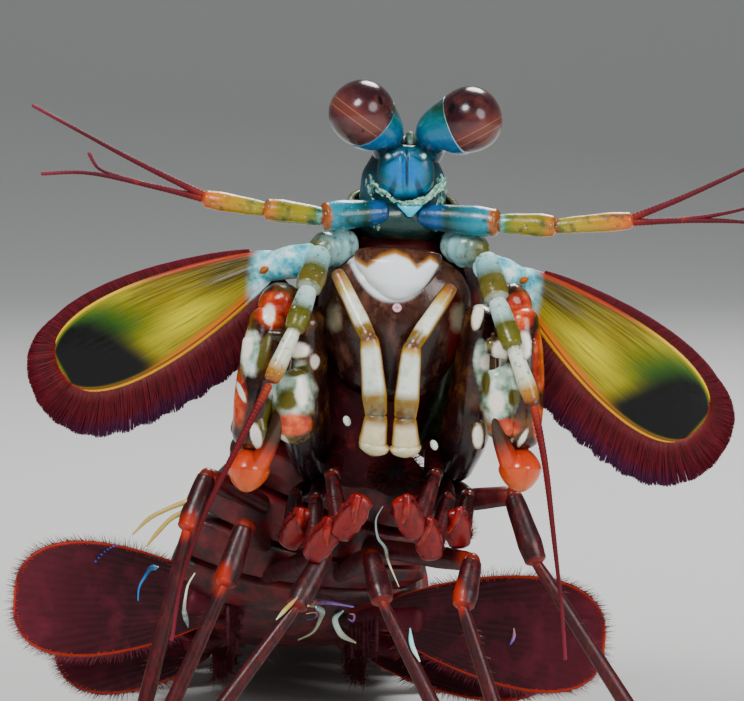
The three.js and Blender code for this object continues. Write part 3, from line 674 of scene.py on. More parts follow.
def cornea(side):
    """An egg-shaped dome about its facing axis: half width r*(1-|2t-1|^2.2)^(1/2.1) at share t. The mark
    belt runs across the belt of larger facets, whose edges are at 0.25 and 0.75, and pupil is 1 in the
    dark false pupils."""
    eye = EYES[side]
    centre, facing = np.array(eye["centre"]), unit(np.array(eye["facing"]))
    share = (1 - np.cos(np.linspace(0, math.pi, 92)[1:-1])) / 2
    full = (1 - np.abs(2 * share - 1) ** 2.2) ** (1 / 2.1) * EYE
    across = unit(np.cross(facing, UP))
    deep = np.cross(across, facing)
    angle = np.linspace(0, TURN, 144, endpoint=False)
    at = centre + facing * ((2 * share - 1) * EYE * 0.97)[:, None]
    ring = across * np.cos(angle)[:, None] + deep * np.sin(angle)[:, None]
    grid = at[:, None] + ring[None] * full[:, None, None]
    points, quads, tris = closed_grid(grid, centre - facing * EYE * 0.97, centre + facing * EYE * 0.97)
    way = (points - centre) / EYE
    height = way @ np.array(eye["over"])
    low, high = sorted(eye["bands"])
    middle = (low + high) / 2
    pupil = np.zeros(len(points))
    for x, y, z, size in eye["pupils"]:
        spot = unit(np.array([x, y, z]))
        off, upward = unit(way) - spot, unit(UP - spot * spot[2])
        tall = off @ upward
        wide = np.linalg.norm(off - tall[:, None] * upward, axis=1)
        pupil = np.maximum(pupil, smooth(np.hypot(tall / 1.7, wide), size, size * 0.55))
    return form(
        points,
        quads,
        tris,
        belt=0.5 + (height - middle) / (2 * (high - low)),
        glow=hill(height, middle, 0.42),
        pupil=pupil,
    )


def cornea_paint(tree):
    belt = mark(tree, "belt")
    edges = [(0.22, 0.0), (0.25, 1.0), (0.28, 0.0), (0.72, 0.0), (0.75, 1.0), (0.78, 0.0)]
    return lay(
        tree,
        # Painted sheen: the cornea is lighter where the mark glow is high, round the belt, and darker away
        # from it.
        bands(tree, "glow", 2.2, 0.25, [(0.0, "#2c0e16"), (0.45, "#4c2026"), (1.0, "#6e3632")]),
        (flecks(tree, 1.6, 0.45, 0.8, 0.5), "#84483c"),
        (ramp(tree, belt, [(0.25, 0.0), (0.3, 1.0), (0.7, 1.0), (0.75, 0.0)]), "#70382e"),
        (ramp(tree, belt, edges), "#b47860"),
        ("pupil", "#0c0508"),
    )


class SHRIMP_OT_corneas(bpy.types.Operator):
    """The two domed corneas with their belts of larger facets"""

    bl_idname = "shrimp.corneas"
    bl_label = "Corneas"

    def execute(self, context):
        # Facetted cornea over brown-purple pigment: tiny facets, a painted coppery sheen and a wet gloss.
        clear = {"Coat_Weight": 0.35, "Coat_Roughness": 0.03, "Specular_IOR_Level": 0.35}
        finish = material(
            "Facetted_Cornea", cornea_paint, depth=0.012, size=0.12, roughness=0.2, patchy=0.05, **clear
        )
        for side in SIDES:
            piece(f"cornea_{side}", [cornea(side)], finish)
        return {"FINISHED"}


def stalk_paint(tree):
    blues = [(0.0, "#04508c"), (0.35, "#066ca4"), (0.6, "#087480"), (0.8, "#064c38"), (1.0, "#042c2c")]
    return lay(
        tree,
        bands(tree, "height", 2.0, 0.2, blues),
        (ramp(tree, mark(tree, "along"), [(0.3, 1.0), (0.55, 0.0)]), "#06243a"),
        (flecks(tree, 0.8, 0.5, 0.85, 0.4), "#1ca0bc"),
        ("rim", "#d6fbff"),
    )


class SHRIMP_OT_eyestalks(bpy.types.Operator):
    """The two cups that hold the corneas, each with a thin pale rim"""

    bl_idname = "shrimp.eyestalks"
    bl_label = "Eyestalks"

    def execute(self, context):
        # Structural blue of the eyestalk's cuticle: smooth and wet, with a faint metal sheen.
        finish = material(
            "Blue_Eyestalk_Cuticle", stalk_paint, depth=0.02, size=0.4, roughness=0.25, **WET, Metallic=0.15
        )

        def lip(share, angle):
            return 1 + 0.02 * hill(share, 0.965, 0.018)

        for side, eye in EYES.items():
            centre, facing = np.array(eye["centre"]), unit(np.array(eye["facing"]))
            path = [eye["root"], centre - facing * 1.15 * EYE, centre - facing * 0.36 * EYE]
            sizes = [1.4, 1.7, 2.4, 0.84 * EYE, 0.97 * EYE]
            cup = tube(path, sizes, UP, rows=80, sides=96, blunt=0.1, relief=lip)
            cup["marks"]["rim"] = smooth(cup["marks"]["along"], 0.945, 0.965)
            low, high = cup["points"][:, 2].min(), cup["points"][:, 2].max()
            cup["marks"]["height"] = (cup["points"][:, 2] - low) / (high - low)
            piece(f"eyestalk_{side}", [cup], finish)
        return {"FINISHED"}


# The head.


def shield():
    """A domed plate: an oval whose depth is 1-r^4 with a raised midline, two round knobs at its top and
    radiating grooves marked where sin(9*bearing) is high."""
    centre = np.array([0.6, -2.5, 62.4])
    share = np.linspace(0, math.pi / 2, 60)[1:]
    angle = np.linspace(0, TURN, 160, endpoint=False)
    r = np.sin(share)[:, None]
    outline = 1 - 0.04 * np.cos(4 * angle) + 0.03 * np.sin(angle)
    x, z = 3.15 * r * np.cos(angle) * outline, 2.95 * r * np.sin(angle) * outline
    x = x * (1 - 0.07 * z / 2.95)
    dome = 1.35 * np.sqrt(np.maximum(1 - r**4, 0))
    ridge = 0.16 * hill(x, 0, 0.3) * smooth(np.abs(z), 2.6, 1.6)
    groove = -0.1 * hill(np.abs(x), 0.45, 0.18) * smooth(np.abs(z), 2.4, 1.4)
    knobs = 0.3 * hill(np.abs(x), 1.9, 0.3) * hill(z, 1.75, 0.3)
    front = np.stack([x, -(dome + ridge + groove + knobs), z], -1) + centre
    back = np.stack([x, 0.5 * dome + 0 * x, z], -1) + centre
    grid = np.concatenate([front, back[::-1][1:]])
    points, quads, tris = closed_grid(grid, centre + [0, -1.51, 0], centre + [0, 0.675, 0])
    off = points - centre
    bearing = np.arctan2(off[:, 2] - 2.2, off[:, 0])
    away = np.hypot(off[:, 0], off[:, 2]) / 2.95
    return form(
        points,
        quads,
        tris,
        away=away,
        line=near(off[:, 0], 0.1, 0.05, 0.16) * smooth(off[:, 2], -2.0, -1.0) * smooth(off[:, 2], 2.8, 2.2),
        rays=smooth(np.sin(9 * bearing), 0.55, 1.0) * smooth(away, 0.3, 0.6),
        knob=near(np.hypot(np.abs(off[:, 0]) - 1.9, off[:, 2] - 1.75), 0, 0.14, 0.2),
        low=smooth(off[:, 2], -0.8, -2.2),
    )


def shield_paint(tree):
    blues = [(0.0, "#0a72c4"), (0.5, "#0c78b8"), (0.8, "#0a5868"), (1.0, "#0a3e3c")]
    return lay(
        tree,
        bands(tree, "away", 1.5, 0.35, blues),
        ("low", "#0a86b0"),
        (flecks(tree, 0.7, 0.5, 0.8, 0.5), "#0a4a80"),
        ("rays", "#07405e"),
        ("line", "#04263a"),
        # The two knobs are painted near white: a painted highlight on each knob.
        ("knob", "#e6f7ea"),
    )


def crust(points, radius, seed, shade):
    """A lumpy cord of crust along a curve."""
    made = tube(points, [radius * k for k in (0.5, 1, 1.1, 1, 0.5)], UP, rows=16, sides=8, crust=shade)
    middle = Course(points).at(made["marks"]["along"])
    lump = 1 + 0.7 * wave(made["points"], 0.7, seed)
    made["points"] = middle + (made["points"] - middle) * lump[:, None]
    return made


def head_paint(tree):
    greens = [(0.0, "#04201c"), (0.35, "#083834"), (0.55, "#085468"), (0.8, "#0a3438"), (1.0, "#081a1c")]
    return lay(
        tree,
        bands(tree, "height", 1.5, 0.25, greens),
        (flecks(tree, 0.6, 0.5, 0.75, 0.5, 5.0), "#12261a"),
        ("crust", clouds(tree, 0.45, [(0.3, "#2c6a5c"), (0.5, "#8fd0b0"), (0.7, "#e4f8e4")], 5.0)),
        ("cyan", "#22c8ea"),
    )


class SHRIMP_OT_head(bpy.types.Operator):
    """The head between the eyes, its crusted rim and its rostral shield"""

    bl_idname = "shrimp.head"
    bl_label = "Head and Shield"

    def execute(self, context):
        # Enamel-blue rostral plate: darker radiating grooves, two knobs painted near white as highlights, and
        # a wet gloss.
        plate = material("Rostral_Plate_Cuticle", shield_paint, size=0.35, roughness=0.28, **WET)
        piece("head_shield", [shield()], plate)
        # Dark green head cuticle with a pale calcified crust.
        flesh = material("Head_Cuticle", head_paint, depth=0.06, size=0.3, roughness=0.4, **WET)
        axis = [(0.1, 2.2, 54), (0.3, 0.6, 60), (0.6, -0.6, 66.2)]
        core = tube(axis, [(4.4, 3.2), (4.7, 3.2), (4.4, 2.8), (2.2, 1.6)], rows=60, sides=72)
        bar = bulb((-3.4, -2.2, 57.4), (3.8, -2.2, 57.2), 2.1, 2.0, wide=UP, rows=40, sides=64)
        parts = [core, bar]
        rim = [(368, 175, -3.0), (377, 189, -3.8), (391, 199, -4.3), (409, 203, -4.5)]
        rim += [(427, 199, -4.3), (438, 189, -3.8), (446, 175, -3.0)]
        column = [(371, 172, -2.4), (372, 190, -3.0), (374, 210, -3.8), (379, 234, -3.5)]
        mirrored = [(814 - x, y, depth) for x, y, depth in column]
        draw = np.random.default_rng(4)
        lines = ((rim, 44, 0.14, 0.9), (column, 30, 0.26, 0.5), (mirrored, 30, 0.26, 0.5))
        for line, count, loose, pale in lines:
            course = Course([photo(*place) for place in line])
            for k in range(count):
                first = draw.uniform(0, 0.85)
                places = course.at(first + np.linspace(0, 1, 5) * draw.uniform(0.06, 0.15))
                places = places + draw.normal(0, 1, 3) * [loose, 0.05, loose] + draw.normal(0, 0.07, (5, 3))
                shade = pale * draw.uniform(0.5, 1.1)
                parts.append(crust(places, draw.uniform(0.07, 0.17), k, shade))
        chin = [photo(410, 203, -3.9), photo(410, 210, -4.3), photo(410, 217, -4.2)]
        sizes = [(1.5, 0.35), (1.2, 0.35), (0.7, 0.3), (0.25, 0.2)]
        parts.append(tube(chin, sizes, rows=24, blunt=0.3, cyan=1))
        parts.append(bulb(photo(410, 146, -2.4), photo(410, 132, -1.2), 0.55, 0.5, rows=20, crust=0.3))
        for made in parts:
            made["marks"]["height"] = (made["points"][:, 2] - 54) / 12
        piece("head", parts, flesh)
        return {"FINISHED"}


# Antennules, antennae and their whips.

ANTENNULES = {
    "right": {
        "stem": [(-1.6, -2.9, 58.2), (-8.2, -5.2, 57.9), (-14.2, -5.5, 58.7), (-20.6, -5.5, 59.8)],
        "whips": [
            [(-20.2, -5.5, 60.0), (-28, -6, 63.9), (-34, -6.6, 67.2), (-38.3, -7, 69.6)],
            [(-20.2, -5.5, 59.7), (-25.5, -5.4, 61.0), (-33, -5.6, 62.5), (-37.5, -6, 62.4)],
            [(-27.2, -5.5, 61.4), (-29.8, -5.3, 62.2), (-31.6, -5.2, 63.0), (-32.6, -5, 64.6)],
        ],
    },
    "left": {
        "stem": [(2.2, -2.9, 57.8), (10.4, -5.2, 57.2), (16.3, -5.5, 56.9), (24.3, -5.5, 57.5)],
        "whips": [
            [(23.9, -5.5, 57.6), (29.5, -6, 59.9), (36.1, -6.6, 63.0), (42, -7, 66.0)],
            [(23.9, -5.5, 57.3), (30, -5.7, 57.5), (35.5, -6.0, 57.4), (41.5, -6.6, 56.9)],
            [(29.2, -5.7, 57.5), (32.5, -5.6, 58.0), (36.2, -5.4, 58.8), (40, -5, 60.4)],
        ],
    },
}
ANTENNULE_BANDS = [
    (0.0, "#083c74"), (0.09, "#085490"), (0.13, "#063c34"), (0.2, "#087488"), (0.285, "#0c8ca4"),
    (0.3, "#a8560c"), (0.35, "#8c3808"), (0.365, "#5cb4ac"), (0.385, "#5c7a1c"), (0.45, "#9a8a10"),
    (0.58, "#84780c"), (0.62, "#c8780c"), (0.68, "#a84c0a"), (0.7, "#8a8a20"), (0.73, "#b09a14"),
    (0.86, "#b8860c"), (0.95, "#e0740c"), (1.0, "#c04010"),
]


class SHRIMP_OT_antennules(bpy.types.Operator):
    """The two banded antennules, each ending in three red lashes"""

    bl_idname = "shrimp.antennules"
    bl_label = "Antennules"

    def execute(self, context):
        # Banded cuticle of the antennules: enamel blue and cyan, olive, and orange-brown joints.
        paint = banded(ANTENNULE_BANDS, ("#0b3c2c", 1.2, 0.5, 0.72), ("#e8f4d8", 0.35, 0.66, 0.78))
        stem_finish = material("Antennule_Cuticle", paint, size=0.3, roughness=0.28, **WET)
        # Ringed lashes in dark wine red, paler at the tips and dull.
        reds = banded([(0.0, "#8a2410"), (0.12, "#640c1c"), (0.7, "#50081a"), (1.0, "#802038")])
        lash = material("Antennule_Lash", reds, depth=0.01, size=0.2, **DULL)
        for side, data in ANTENNULES.items():
            stem = limb(data["stem"], [1.55, 1.2, 0.98], 50, wide=UP)
            piece(f"antennule_{side}", [stem], stem_finish)
            lashes = [whip(path, size) for path, size in zip(data["whips"], (0.42, 0.42, 0.32))]
            piece(f"antennule_lashes_{side}", lashes, lash)
        return {"FINISHED"}


ANTENNAE = {
    "right": {
        "stem": [(-8.4, -4.2, 54.0), (-9.6, -8.0, 50.4), (-11.0, -10.8, 46.4), (-13.4, -12.2, 41.2)],
        "whip": [
            (-13.5, -12.3, 41), (-16.9, -12.8, 34.4), (-20, -12.5, 28), (-22.6, -12, 20.8),
            (-23.8, -11.5, 14),
        ],
    },
    "left": {
        "stem": [(9.0, -4.2, 53.4), (10.1, -8.0, 49.2), (11.7, -10.8, 44.6), (13.7, -12.2, 39.0)],
        "whip": [
            (13.8, -12.3, 38.8), (14.9, -12.8, 33), (15.9, -12.5, 25), (16.8, -12, 17), (17.2, -11.5, 12),
        ],
    },
}
ANTENNA_BANDS = [
    (0.0, "#c4ecec"), (0.1, "#8cc8cc"), (0.19, "#5a5618"), (0.3, "#6c6018"), (0.35, "#d4ece4"),
    (0.46, "#a8d0c8"), (0.52, "#56560e"), (0.66, "#6c6814"), (0.71, "#eef0dc"), (0.86, "#d8dcc0"),
    (0.93, "#b8801c"), (1.0, "#8a3410"),
]


class SHRIMP_OT_antennae(bpy.types.Operator):
    """The two antennae: a pale base, three banded segments and one long red lash"""

    bl_idname = "shrimp.antennae"
    bl_label = "Antennae"

    def execute(self, context):
        # Banded cuticle of the antennae: bluish white and olive, glassy at the edges.
        paint = banded(ANTENNA_BANDS, ("#46501c", 0.7, 0.55, 0.75), ("#ffffff", 0.4, 0.66, 0.76))
        finish = material("Antenna_Cuticle", paint, size=0.3, roughness=0.25, **WET, **SOFT)
        # Ringed lash in dark red, brighter at its root and dull.
        reds = banded([(0.0, "#a8341c"), (0.1, "#6c0a14"), (0.7, "#5a0814"), (1.0, "#802034")])
        lash = material("Antenna_Lash", reds, depth=0.01, size=0.2, **DULL)

        def folds(share, angle):
            return 1 + 0.05 * np.sin(9 * share * math.pi) * np.cos(2 * angle)

        for side, sign in SIDES.items():
            ends = beside(sign, 4.6, -0.6, 55), beside(sign, 9.2, -4.4, 54)
            base = bulb(*ends, 2.1, 1.95, wide=UP, rows=40, sides=48, relief=folds)
            base["marks"]["along"] *= 0.2
            stem = limb(ANTENNAE[side]["stem"], [1.45, 1.15, 0.9], 44)
            piece(f"antenna_{side}", [base, stem], finish)
            thread = whip(ANTENNAE[side]["whip"], 0.44)
            piece(f"antenna_whip_{side}", [thread], lash)
        return {"FINISHED"}


# Antennal scales.

SCALES = {
    "right": {"root": (-7.6, -4.2, 53.9), "from": (-12.4, -3.2, 53.5), "to": (-36.2, -2.4, 41.4)},
    "left": {"root": (7.8, -4.2, 53.2), "from": (11.8, -3.2, 52.0), "to": (32.0, -2.4, 35.2)},
}
SCALE_HALF_WIDTH = 4.9
SCALE_HALF_LENGTH = 13.3
# How long the fringe is, as a share of its greatest length, at angles round the blade.
FRINGE_REACH = [
    (-2.5, 0.05), (-2.2, 0.1), (-1.6, 0.18), (-0.7, 0.26), (0, 0.6), (0.7, 0.94), (2.3, 1.0),
    (2.75, 0.55),
]
# The fringe's greatest length in millimetres.
FRINGE = 5.0


def scale_blade(side):
    data = SCALES[side]
    along = unit(np.array(data["to"]) - np.array(data["from"]))
    wide = unit(np.cross(along, FORWARD))
    wide = wide if wide[2] < 0 else -wide
    return {"from": data["from"], "to": data["to"], "wide": wide, "half": SCALE_HALF_WIDTH, "depth": 0.95}


def scale_marks(made):
    """Where the colours of a scale lie: u runs from its root to its end and v across it, positive below.
    The black zone begins where u passes a line that falls back towards the lower edge."""
    u, v = made["marks"]["along"], made["marks"]["across"]
    start = np.interp(v, [-1, -0.86, -0.62, -0.16, 0.43, 0.79, 1], [0.9, 0.73, 0.55, 0.425, 0.31, 0.25, 0.22])
    past = u - start
    rim = np.minimum((1 - np.abs(v)) * SCALE_HALF_WIDTH * egg(u), (1 - u) * SCALE_HALF_LENGTH)
    inner = smooth(rim, 0.42, 0.9)
    made["marks"].update(
        spot=smooth(past, -0.13, 0.12) * inner,
        ring=smooth(past, -0.5, -0.03) * smooth(v, 0.55, -0.3) * inner,
        bright=hill(u, -0.12, 0.34) * hill(v, 0.25, 0.4),
        orange=smooth(rim, 1.5, 0.7) * smooth(v, 0.1, 0.5) * smooth(u, 0.45, -0.2),
        gold=smooth(rim, 0.45, 0.28) * np.maximum(smooth(u, -0.1, 0.4), smooth(v, 0, 0.3)),
        red=smooth(rim, 0.7, 0.35) * smooth(v, -0.2, -0.6) * smooth(u, 0.45, -0.3),
        base=smooth(u - 0.12 * v, -0.66, -0.8),
        dark=smooth(u, -0.1, -0.6) * smooth(v, 0.4, -0.3),
        seam=near(rim, 0.52, 0.05, 0.09) * smooth(v, 0.1, 0.4),
    )
    return made


def scale_paint(tree):
    flat = node(tree, "ShaderNodeCombineXYZ", {"X": mark(tree, "along"), "Y": mark(tree, "across")})
    fibre = grain(tree, 1.0, 6.0, (0.0022, 0.024, 1), flat.outputs[0])
    olives = [(0.0, "#6c5a06"), (0.3, "#8c8406"), (0.6, "#7c8206"), (1.0, "#5c6c06")]
    return lay(
        tree,
        bands(tree, "along", 1.8, 0.2, olives),
        (ramp(tree, fibre, [(0.45, 0.0), (0.75, 0.7)]), "#b8ac10"),
        ("bright", "#ccc014"),
        (ramp(tree, fibre, [(0.28, 0.9), (0.46, 0.0)]), "#4c4e06"),
        ("dark", ramp(tree, fibre, [(0.4, "#241a04"), (0.62, "#6a5c08")])),
        ("ring", "#2a5208"),
        ("spot", "#010101"),
        ("orange", "#d8780a"),
        ("red", "#a03008"),
        ("gold", "#f0b80c"),
        ("seam", "#8c2c0a"),
        ("base", clouds(tree, 1.3, [(0.35, "#2c9ab4"), (0.5, "#7cdce8"), (0.65, "#e8fcff")])),
        ("knob", "#a85a14"),
    )


def fringe(side, look):
    """Bristles in three tiers round the blade's edge. A root's angle is drawn evenly along the edge, its
    length is read from FRINGE_REACH, and its end is more ragged low on the blade than high."""
    blade = scale_blade(side)
    start, end, along, across, deep = blade_frame(blade)
    draw = np.random.default_rng(11 if side == "right" else 12)
    fine = np.linspace(FRINGE_REACH[0][0], FRINGE_REACH[-1][0], 600)
    steps = np.linalg.norm(np.diff(edge_of(blade, fine), axis=0), axis=1)
    run = np.concatenate([[0], np.cumsum(steps)])
    count = look.fringe_hairs
    angle = np.interp((np.arange(count) + draw.uniform(0, 1, count)) / count * run[-1], run, fine)
    rim = edge_of(blade, angle)
    edge = unit(edge_of(blade, angle + 0.02) - edge_of(blade, angle - 0.02))
    out = unit(np.cross(edge, deep))
    out = out * np.sign(((rim - (start + end) / 2) * out).sum(1))[:, None]
    tier = (np.arange(count) % 3 - 1)[:, None]
    ways = unit(out + along * 0.25 + edge * draw.normal(0, 0.04, (count, 1)) + deep * (0.03 * tier))
    ragged = np.interp(angle, [-0.6, 0.3, 1.2, 2.2], [0.03, 0.06, 0.2, 0.08])
    reach = np.interp(angle, *zip(*FRINGE_REACH)) * FRINGE * (1 - ragged * draw.uniform(0, 1, count) ** 2)
    reach = reach * (1 - ragged * 0.4 * (0.5 + 0.5 * np.sin(angle * 31)))
    bend = (along * 0.25 + deep * draw.normal(0, 0.05, (count, 1))) * reach[:, None] * 0.3
    thick = look.hair_radius / MM * draw.uniform(0.8, 1.25, count)
    roots = rim - out * 0.45 + deep * 0.16 * tier
    made = hairs(roots, ways, reach + 0.45, thick, bend, taper=0.45, seeds=draw.uniform(0, 1, count))
    low = np.repeat(smooth(angle, 0.1, 0.9) * smooth(angle, 2.1, 1.4), len(made["points"]) // count)
    made["marks"]["purple"] = low * smooth(made["marks"]["along"], 0.8, 1.0)
    bake_marks(made, angle)
    return [made]


def fringe_paint(tree):
    pick = mark(tree, "pick")
    maroons = [(0.0, "#a02c10"), (0.08, "#5c1010"), (0.4, "#480a12"), (1.0, "#640c1e")]
    return lay(
        tree,
        ramp(tree, mark(tree, "along"), maroons),
        (ramp(tree, pick, [(0.4, 0.0), (1.0, 0.6)]), "#7a1426"),
        (ramp(tree, pick, [(0.0, 0.6), (0.35, 0.0)]), "#2c0610"),
        ("purple", "#522450"),
    )


class SHRIMP_OT_antennal_scales(bpy.types.Operator):
    """The two broad paddles beside the head, each with its fringe of feathery bristles"""

    bl_idname = "shrimp.antennal_scales"
    bl_label = "Antennal Scales"

    def execute(self, context):
        # Thin calcified blade: fibrous olive yellow, a velvet black spot and a golden rim.
        silky = {"Coat_Weight": 0.1, "Coat_Roughness": 0.1, "Specular_IOR_Level": 0.25}
        finish = material("Antennal_Scale_Blade", scale_paint, size=0.3, roughness=0.45, **silky)
        # Dull bristles in dark maroon, violet at the tips of the lower edge.
        dull = {"roughness": 0.5, "Specular_IOR_Level": 0.2}
        bristle = material("Scale_Fringe_Bristle", fringe_paint, depth=0.005, size=0.1, **dull)

        def relief(u, v):
            ribs = 0.012 * np.sin(v * 42 + 3 * u) * smooth(u, 0.9, 0.5)
            crest = 0.22 * hill(v + 0.2 * u, -0.3, 0.14) * smooth(u, 0.2, -0.6)
            return 0.82 + ribs + crest + 0.25 * smooth(np.abs(v), 0.82, 0.93)

        for side, data in SCALES.items():
            along = unit(np.array(data["to"]) - np.array(data["from"]))
            leaf = scale_marks(paddle(scale_blade(side), 150, 190, relief))
            ends = data["root"], np.array(data["from"]) + along * 3
            stalk = bulb(*ends, 1.8, 1.4, wide=UP, rows=40, sides=36, base=1)
            px, py = (264, 270) if side == "right" else (524, 280)
            knob = bulb(photo(px - 2, py - 3), photo(px + 2, py + 3), 0.6, 0.5, knob=1)
            piece(f"antennal_scale_{side}", [leaf, stalk, knob], finish)
            piece(f"scale_fringe_{side}", fringe(side, context.scene.shrimp_look), bristle)
        return {"FINISHED"}


# The face.


def face_marks(made):
    """The pale patch under the brow, in picture positions: a cup pointed below with two lobes above."""
    x, y, z = made["points"].T
    pixel = 0.105
    px, py = x / pixel + 400, PICTURE[1] - (z - 7) / pixel
    front = smooth(y, -1.5, -3.0)
    brow_x = [345, 351, 367, 381, 395, 408, 417, 430, 438]
    top = np.interp(px, brow_x, [264, 258, 267, 257, 253, 258, 268, 259, 264])
    foot = 301 - 40 * np.abs((px - 394) / 46) ** 2.4
    inside = smooth(py, top - 1.5, top + 2.5) * smooth(py, foot + 3, foot - 4)
    inside = inside * smooth(np.abs(px - 394), 47, 43)
    far = np.hypot(px - 397, py - 307)
    made["marks"].update(
        white=inside * front,
        gold=smooth(py - top, -6, 0) * smooth(py - top, 9, 2) * smooth(np.abs(px - 394), 46, 40) * front,
        ring=1 - front * smooth(far, 9, 0),
        red=near(px, 453, 3, 5) * smooth(py, 285, 300) * smooth(py, 385, 360) * front,
        pale=near(np.abs(px - 396), 62, 0, 14) * near(py, 318, 0, 26) * front,
        high=smooth(py, 420, 250),
    )
    return made


def face_paint(tree):
    pale_ring = [(0.05, 0.0), (0.12, 1.0), (0.42, 1.0), (0.56, 0.0)]
    return lay(
        tree,
        bands(tree, "high", 2.5, 0.5, [(0.0, "#1c0608"), (0.5, "#341610"), (1.0, "#4c2a18")]),
        (clouds(tree, 1.6, [(0.5, 0.0), (0.72, 0.55)], 5.0, (1, 1, 0.35)), "#8a5a4a"),
        (clouds(tree, 0.8, [(0.3, 0.8), (0.5, 0.0)]), "#1c0808"),
        ("red", "#5c0c0c"),
        (ragged(tree, "pale", 0.9), "#8c8068"),
        ("gold", "#b87a24"),
        ("white", "#f4fbff"),
        (ramp(tree, mark(tree, "ring"), pale_ring), "#e8b4c4"),
    )


class SHRIMP_OT_face(bpy.types.Operator):
    """The brown glassy dome over the mouth with its white lip patch"""

    bl_idname = "shrimp.face"
    bl_label = "Face"

    def execute(self, context):
        # Glassy brown shell over the mouth: light enters it, and it bears a patch of white pigment.
        glassy = {"Coat_Weight": 0.25, "Coat_Roughness": 0.1, "IOR": 1.4, **SOFT}
        finish = material("Face_Glassy_Cuticle", face_paint, depth=0.04, roughness=0.2, patchy=0.08, **glassy)

        def folds(share, angle):
            return 1 + 0.012 * np.sin(angle * 14 + 6 * share) * smooth(np.sin(angle), 0.2, 0.8)

        axis = [(-0.1, -0.6, 54.4), (-0.7, -1.6, 47), (-1.5, -0.4, 38)]
        sizes = [(5.6, 3.2), (8.0, 4.2), (8.2, 4.4), (6.4, 4.0), (4.2, 3.0)]
        dome = tube(axis, sizes, rows=110, sides=170, relief=folds)
        axis = [(-0.1, -4.0, 54.6), (-0.3, -4.9, 51.6), (-0.6, -5.0, 48.9)]
        lip = tube(axis, [(4.6, 1.0), (4.6, 1.9), (3.2, 1.8), (0.9, 0.9)], rows=70, sides=100)
        piece("face", [face_marks(dome), face_marks(lip)], finish)
        return {"FINISHED"}


FIRST_MAXILLIPEDS = {
    "right": [(-6.6, -4.6, 52.0), (-3.2, -8.0, 45.2), (-2.5, -8.6, 37.2), (-3.0, -8.0, 33.6)],
    "left": [(5.4, -4.4, 50.4), (1.2, -8.0, 44.4), (0.5, -8.6, 36.9), (0.6, -8.0, 33.4)],
}
MAXILLIPED_BANDS = [
    (0.0, "#5a1a0c"), (0.05, "#b06a10"), (0.1, "#d8b040"), (0.13, "#f2eed8"), (0.25, "#f6f4e4"),
    (0.27, "#8a6a10"), (0.32, "#6a3a0c"), (0.345, "#7a1408"), (0.37, "#d8a83c"), (0.39, "#f0f2e2"),
    (0.54, "#e8f0e4"), (0.58, "#8c6a20"), (0.66, "#4a200c"), (0.72, "#8a5a1c"), (0.78, "#ead8b0"),
    (0.92, "#e6d0a0"), (1.0, "#b06a1c"),
]


def first_maxilliped_paint(tree):
    ground = bands(tree, "along", 1.4, 0.02, MAXILLIPED_BANDS)
    return lay(tree, ground, (flecks(tree, 1.0, 0.42, 0.7, 0.45), "#94a884"), ("rim", "#a87c1c"))


class SHRIMP_OT_first_maxillipeds(bpy.types.Operator):
    """The pale banded limbs folded in front of the mouth"""

    bl_idname = "shrimp.first_maxillipeds"
    bl_label = "First Maxillipeds"

    def execute(self, context):
        # Porcelain-white cuticle with gold edges and dark red joints.
        look = {"depth": 0.02, "size": 0.4, "roughness": 0.3, **WET, **SOFT}
        finish = material("First_Maxilliped_Cuticle", first_maxilliped_paint, **look)
        for side, points in FIRST_MAXILLIPEDS.items():
            arm = limb(points, [(0.9, 0.8), (1.25, 0.85), (1.4, 0.95)], 50, grooves=0.01)
            ends = [np.array(points[2]) + [0, 0.2, -2.3], np.array(points[3]) + [0, 0.2, -0.6]]
            sizes = [(0.9, 0.8), (1.75, 1.15), (1.5, 1.0), (0.7, 0.6)]
            hand = tube(ends, sizes, rows=30, sides=44, blunt=1.3)
            hand["marks"]["along"] = 0.7 + 0.3 * hand["marks"]["along"]
            for part, share in ((arm, 1.0), (hand, 0.8)):
                part["marks"]["rim"] = share * smooth(np.abs(part["marks"]["across"]), 0.72, 0.97)
            name = f"maxilliped_1_{side}"
            piece(name, [arm, hand], finish)
        return {"FINISHED"}


# The raptorial claws.

# Ovals on the claws in the picture: their middle, half sizes and turn.
CLAW_PATCHES = {
    "right": {
        "red": [
            (275, 310, 23, 20, 0), (236, 398, 12, 30, 0), (294, 424, 20, 13, 0), (226, 420, 8, 24, 0),
        ],
        "mint": [(293, 390, 24, 32, 0), (251, 352, 11, 26, 0)],
        "olive": [
            (288, 400, 12, 13, 0), (264, 352, 6, 24, 0.3), (300, 371, 16, 5, -0.3),
            (270, 425, 8, 26, 0),
        ],
        # Pale ovals: some are cream spots and teeth of the claw, some are painted highlights.
        "white": [
            (269, 314, 7, 12, 0), (297, 350, 15, 9, 0), (247, 346, 6, 16, 0.1), (315, 362, 5, 8, 0),
            (256, 436, 6, 14, -0.2), (284, 443, 5, 10, -0.5), (241, 392, 3, 13, -0.4),
            (302, 392, 7, 18, 0),
        ],
    },
    "left": {
        "red": [
            (520, 312, 16, 22, 0), (541, 360, 9, 34, 0), (505, 427, 17, 10, 0), (540, 425, 8, 20, 0),
        ],
        "mint": [(499, 392, 20, 34, 0), (481, 362, 8, 24, 0)],
        "olive": [(486, 383, 5, 15, 0), (514, 398, 7, 11, 0), (509, 332, 5, 20, 0)],
        # Pale ovals: some are cream spots and teeth of the claw, some are painted highlights.
        "white": [
            (478, 314, 6, 18, 0.2), (500, 352, 9, 12, 0), (486, 362, 7, 9, 0), (524, 346, 8, 16, 0),
            (478, 437, 6, 13, 0), (507, 447, 3, 11, 0.6), (523, 438, 3, 11, 0.5), (497, 402, 9, 14, 0),
        ],
    },
}
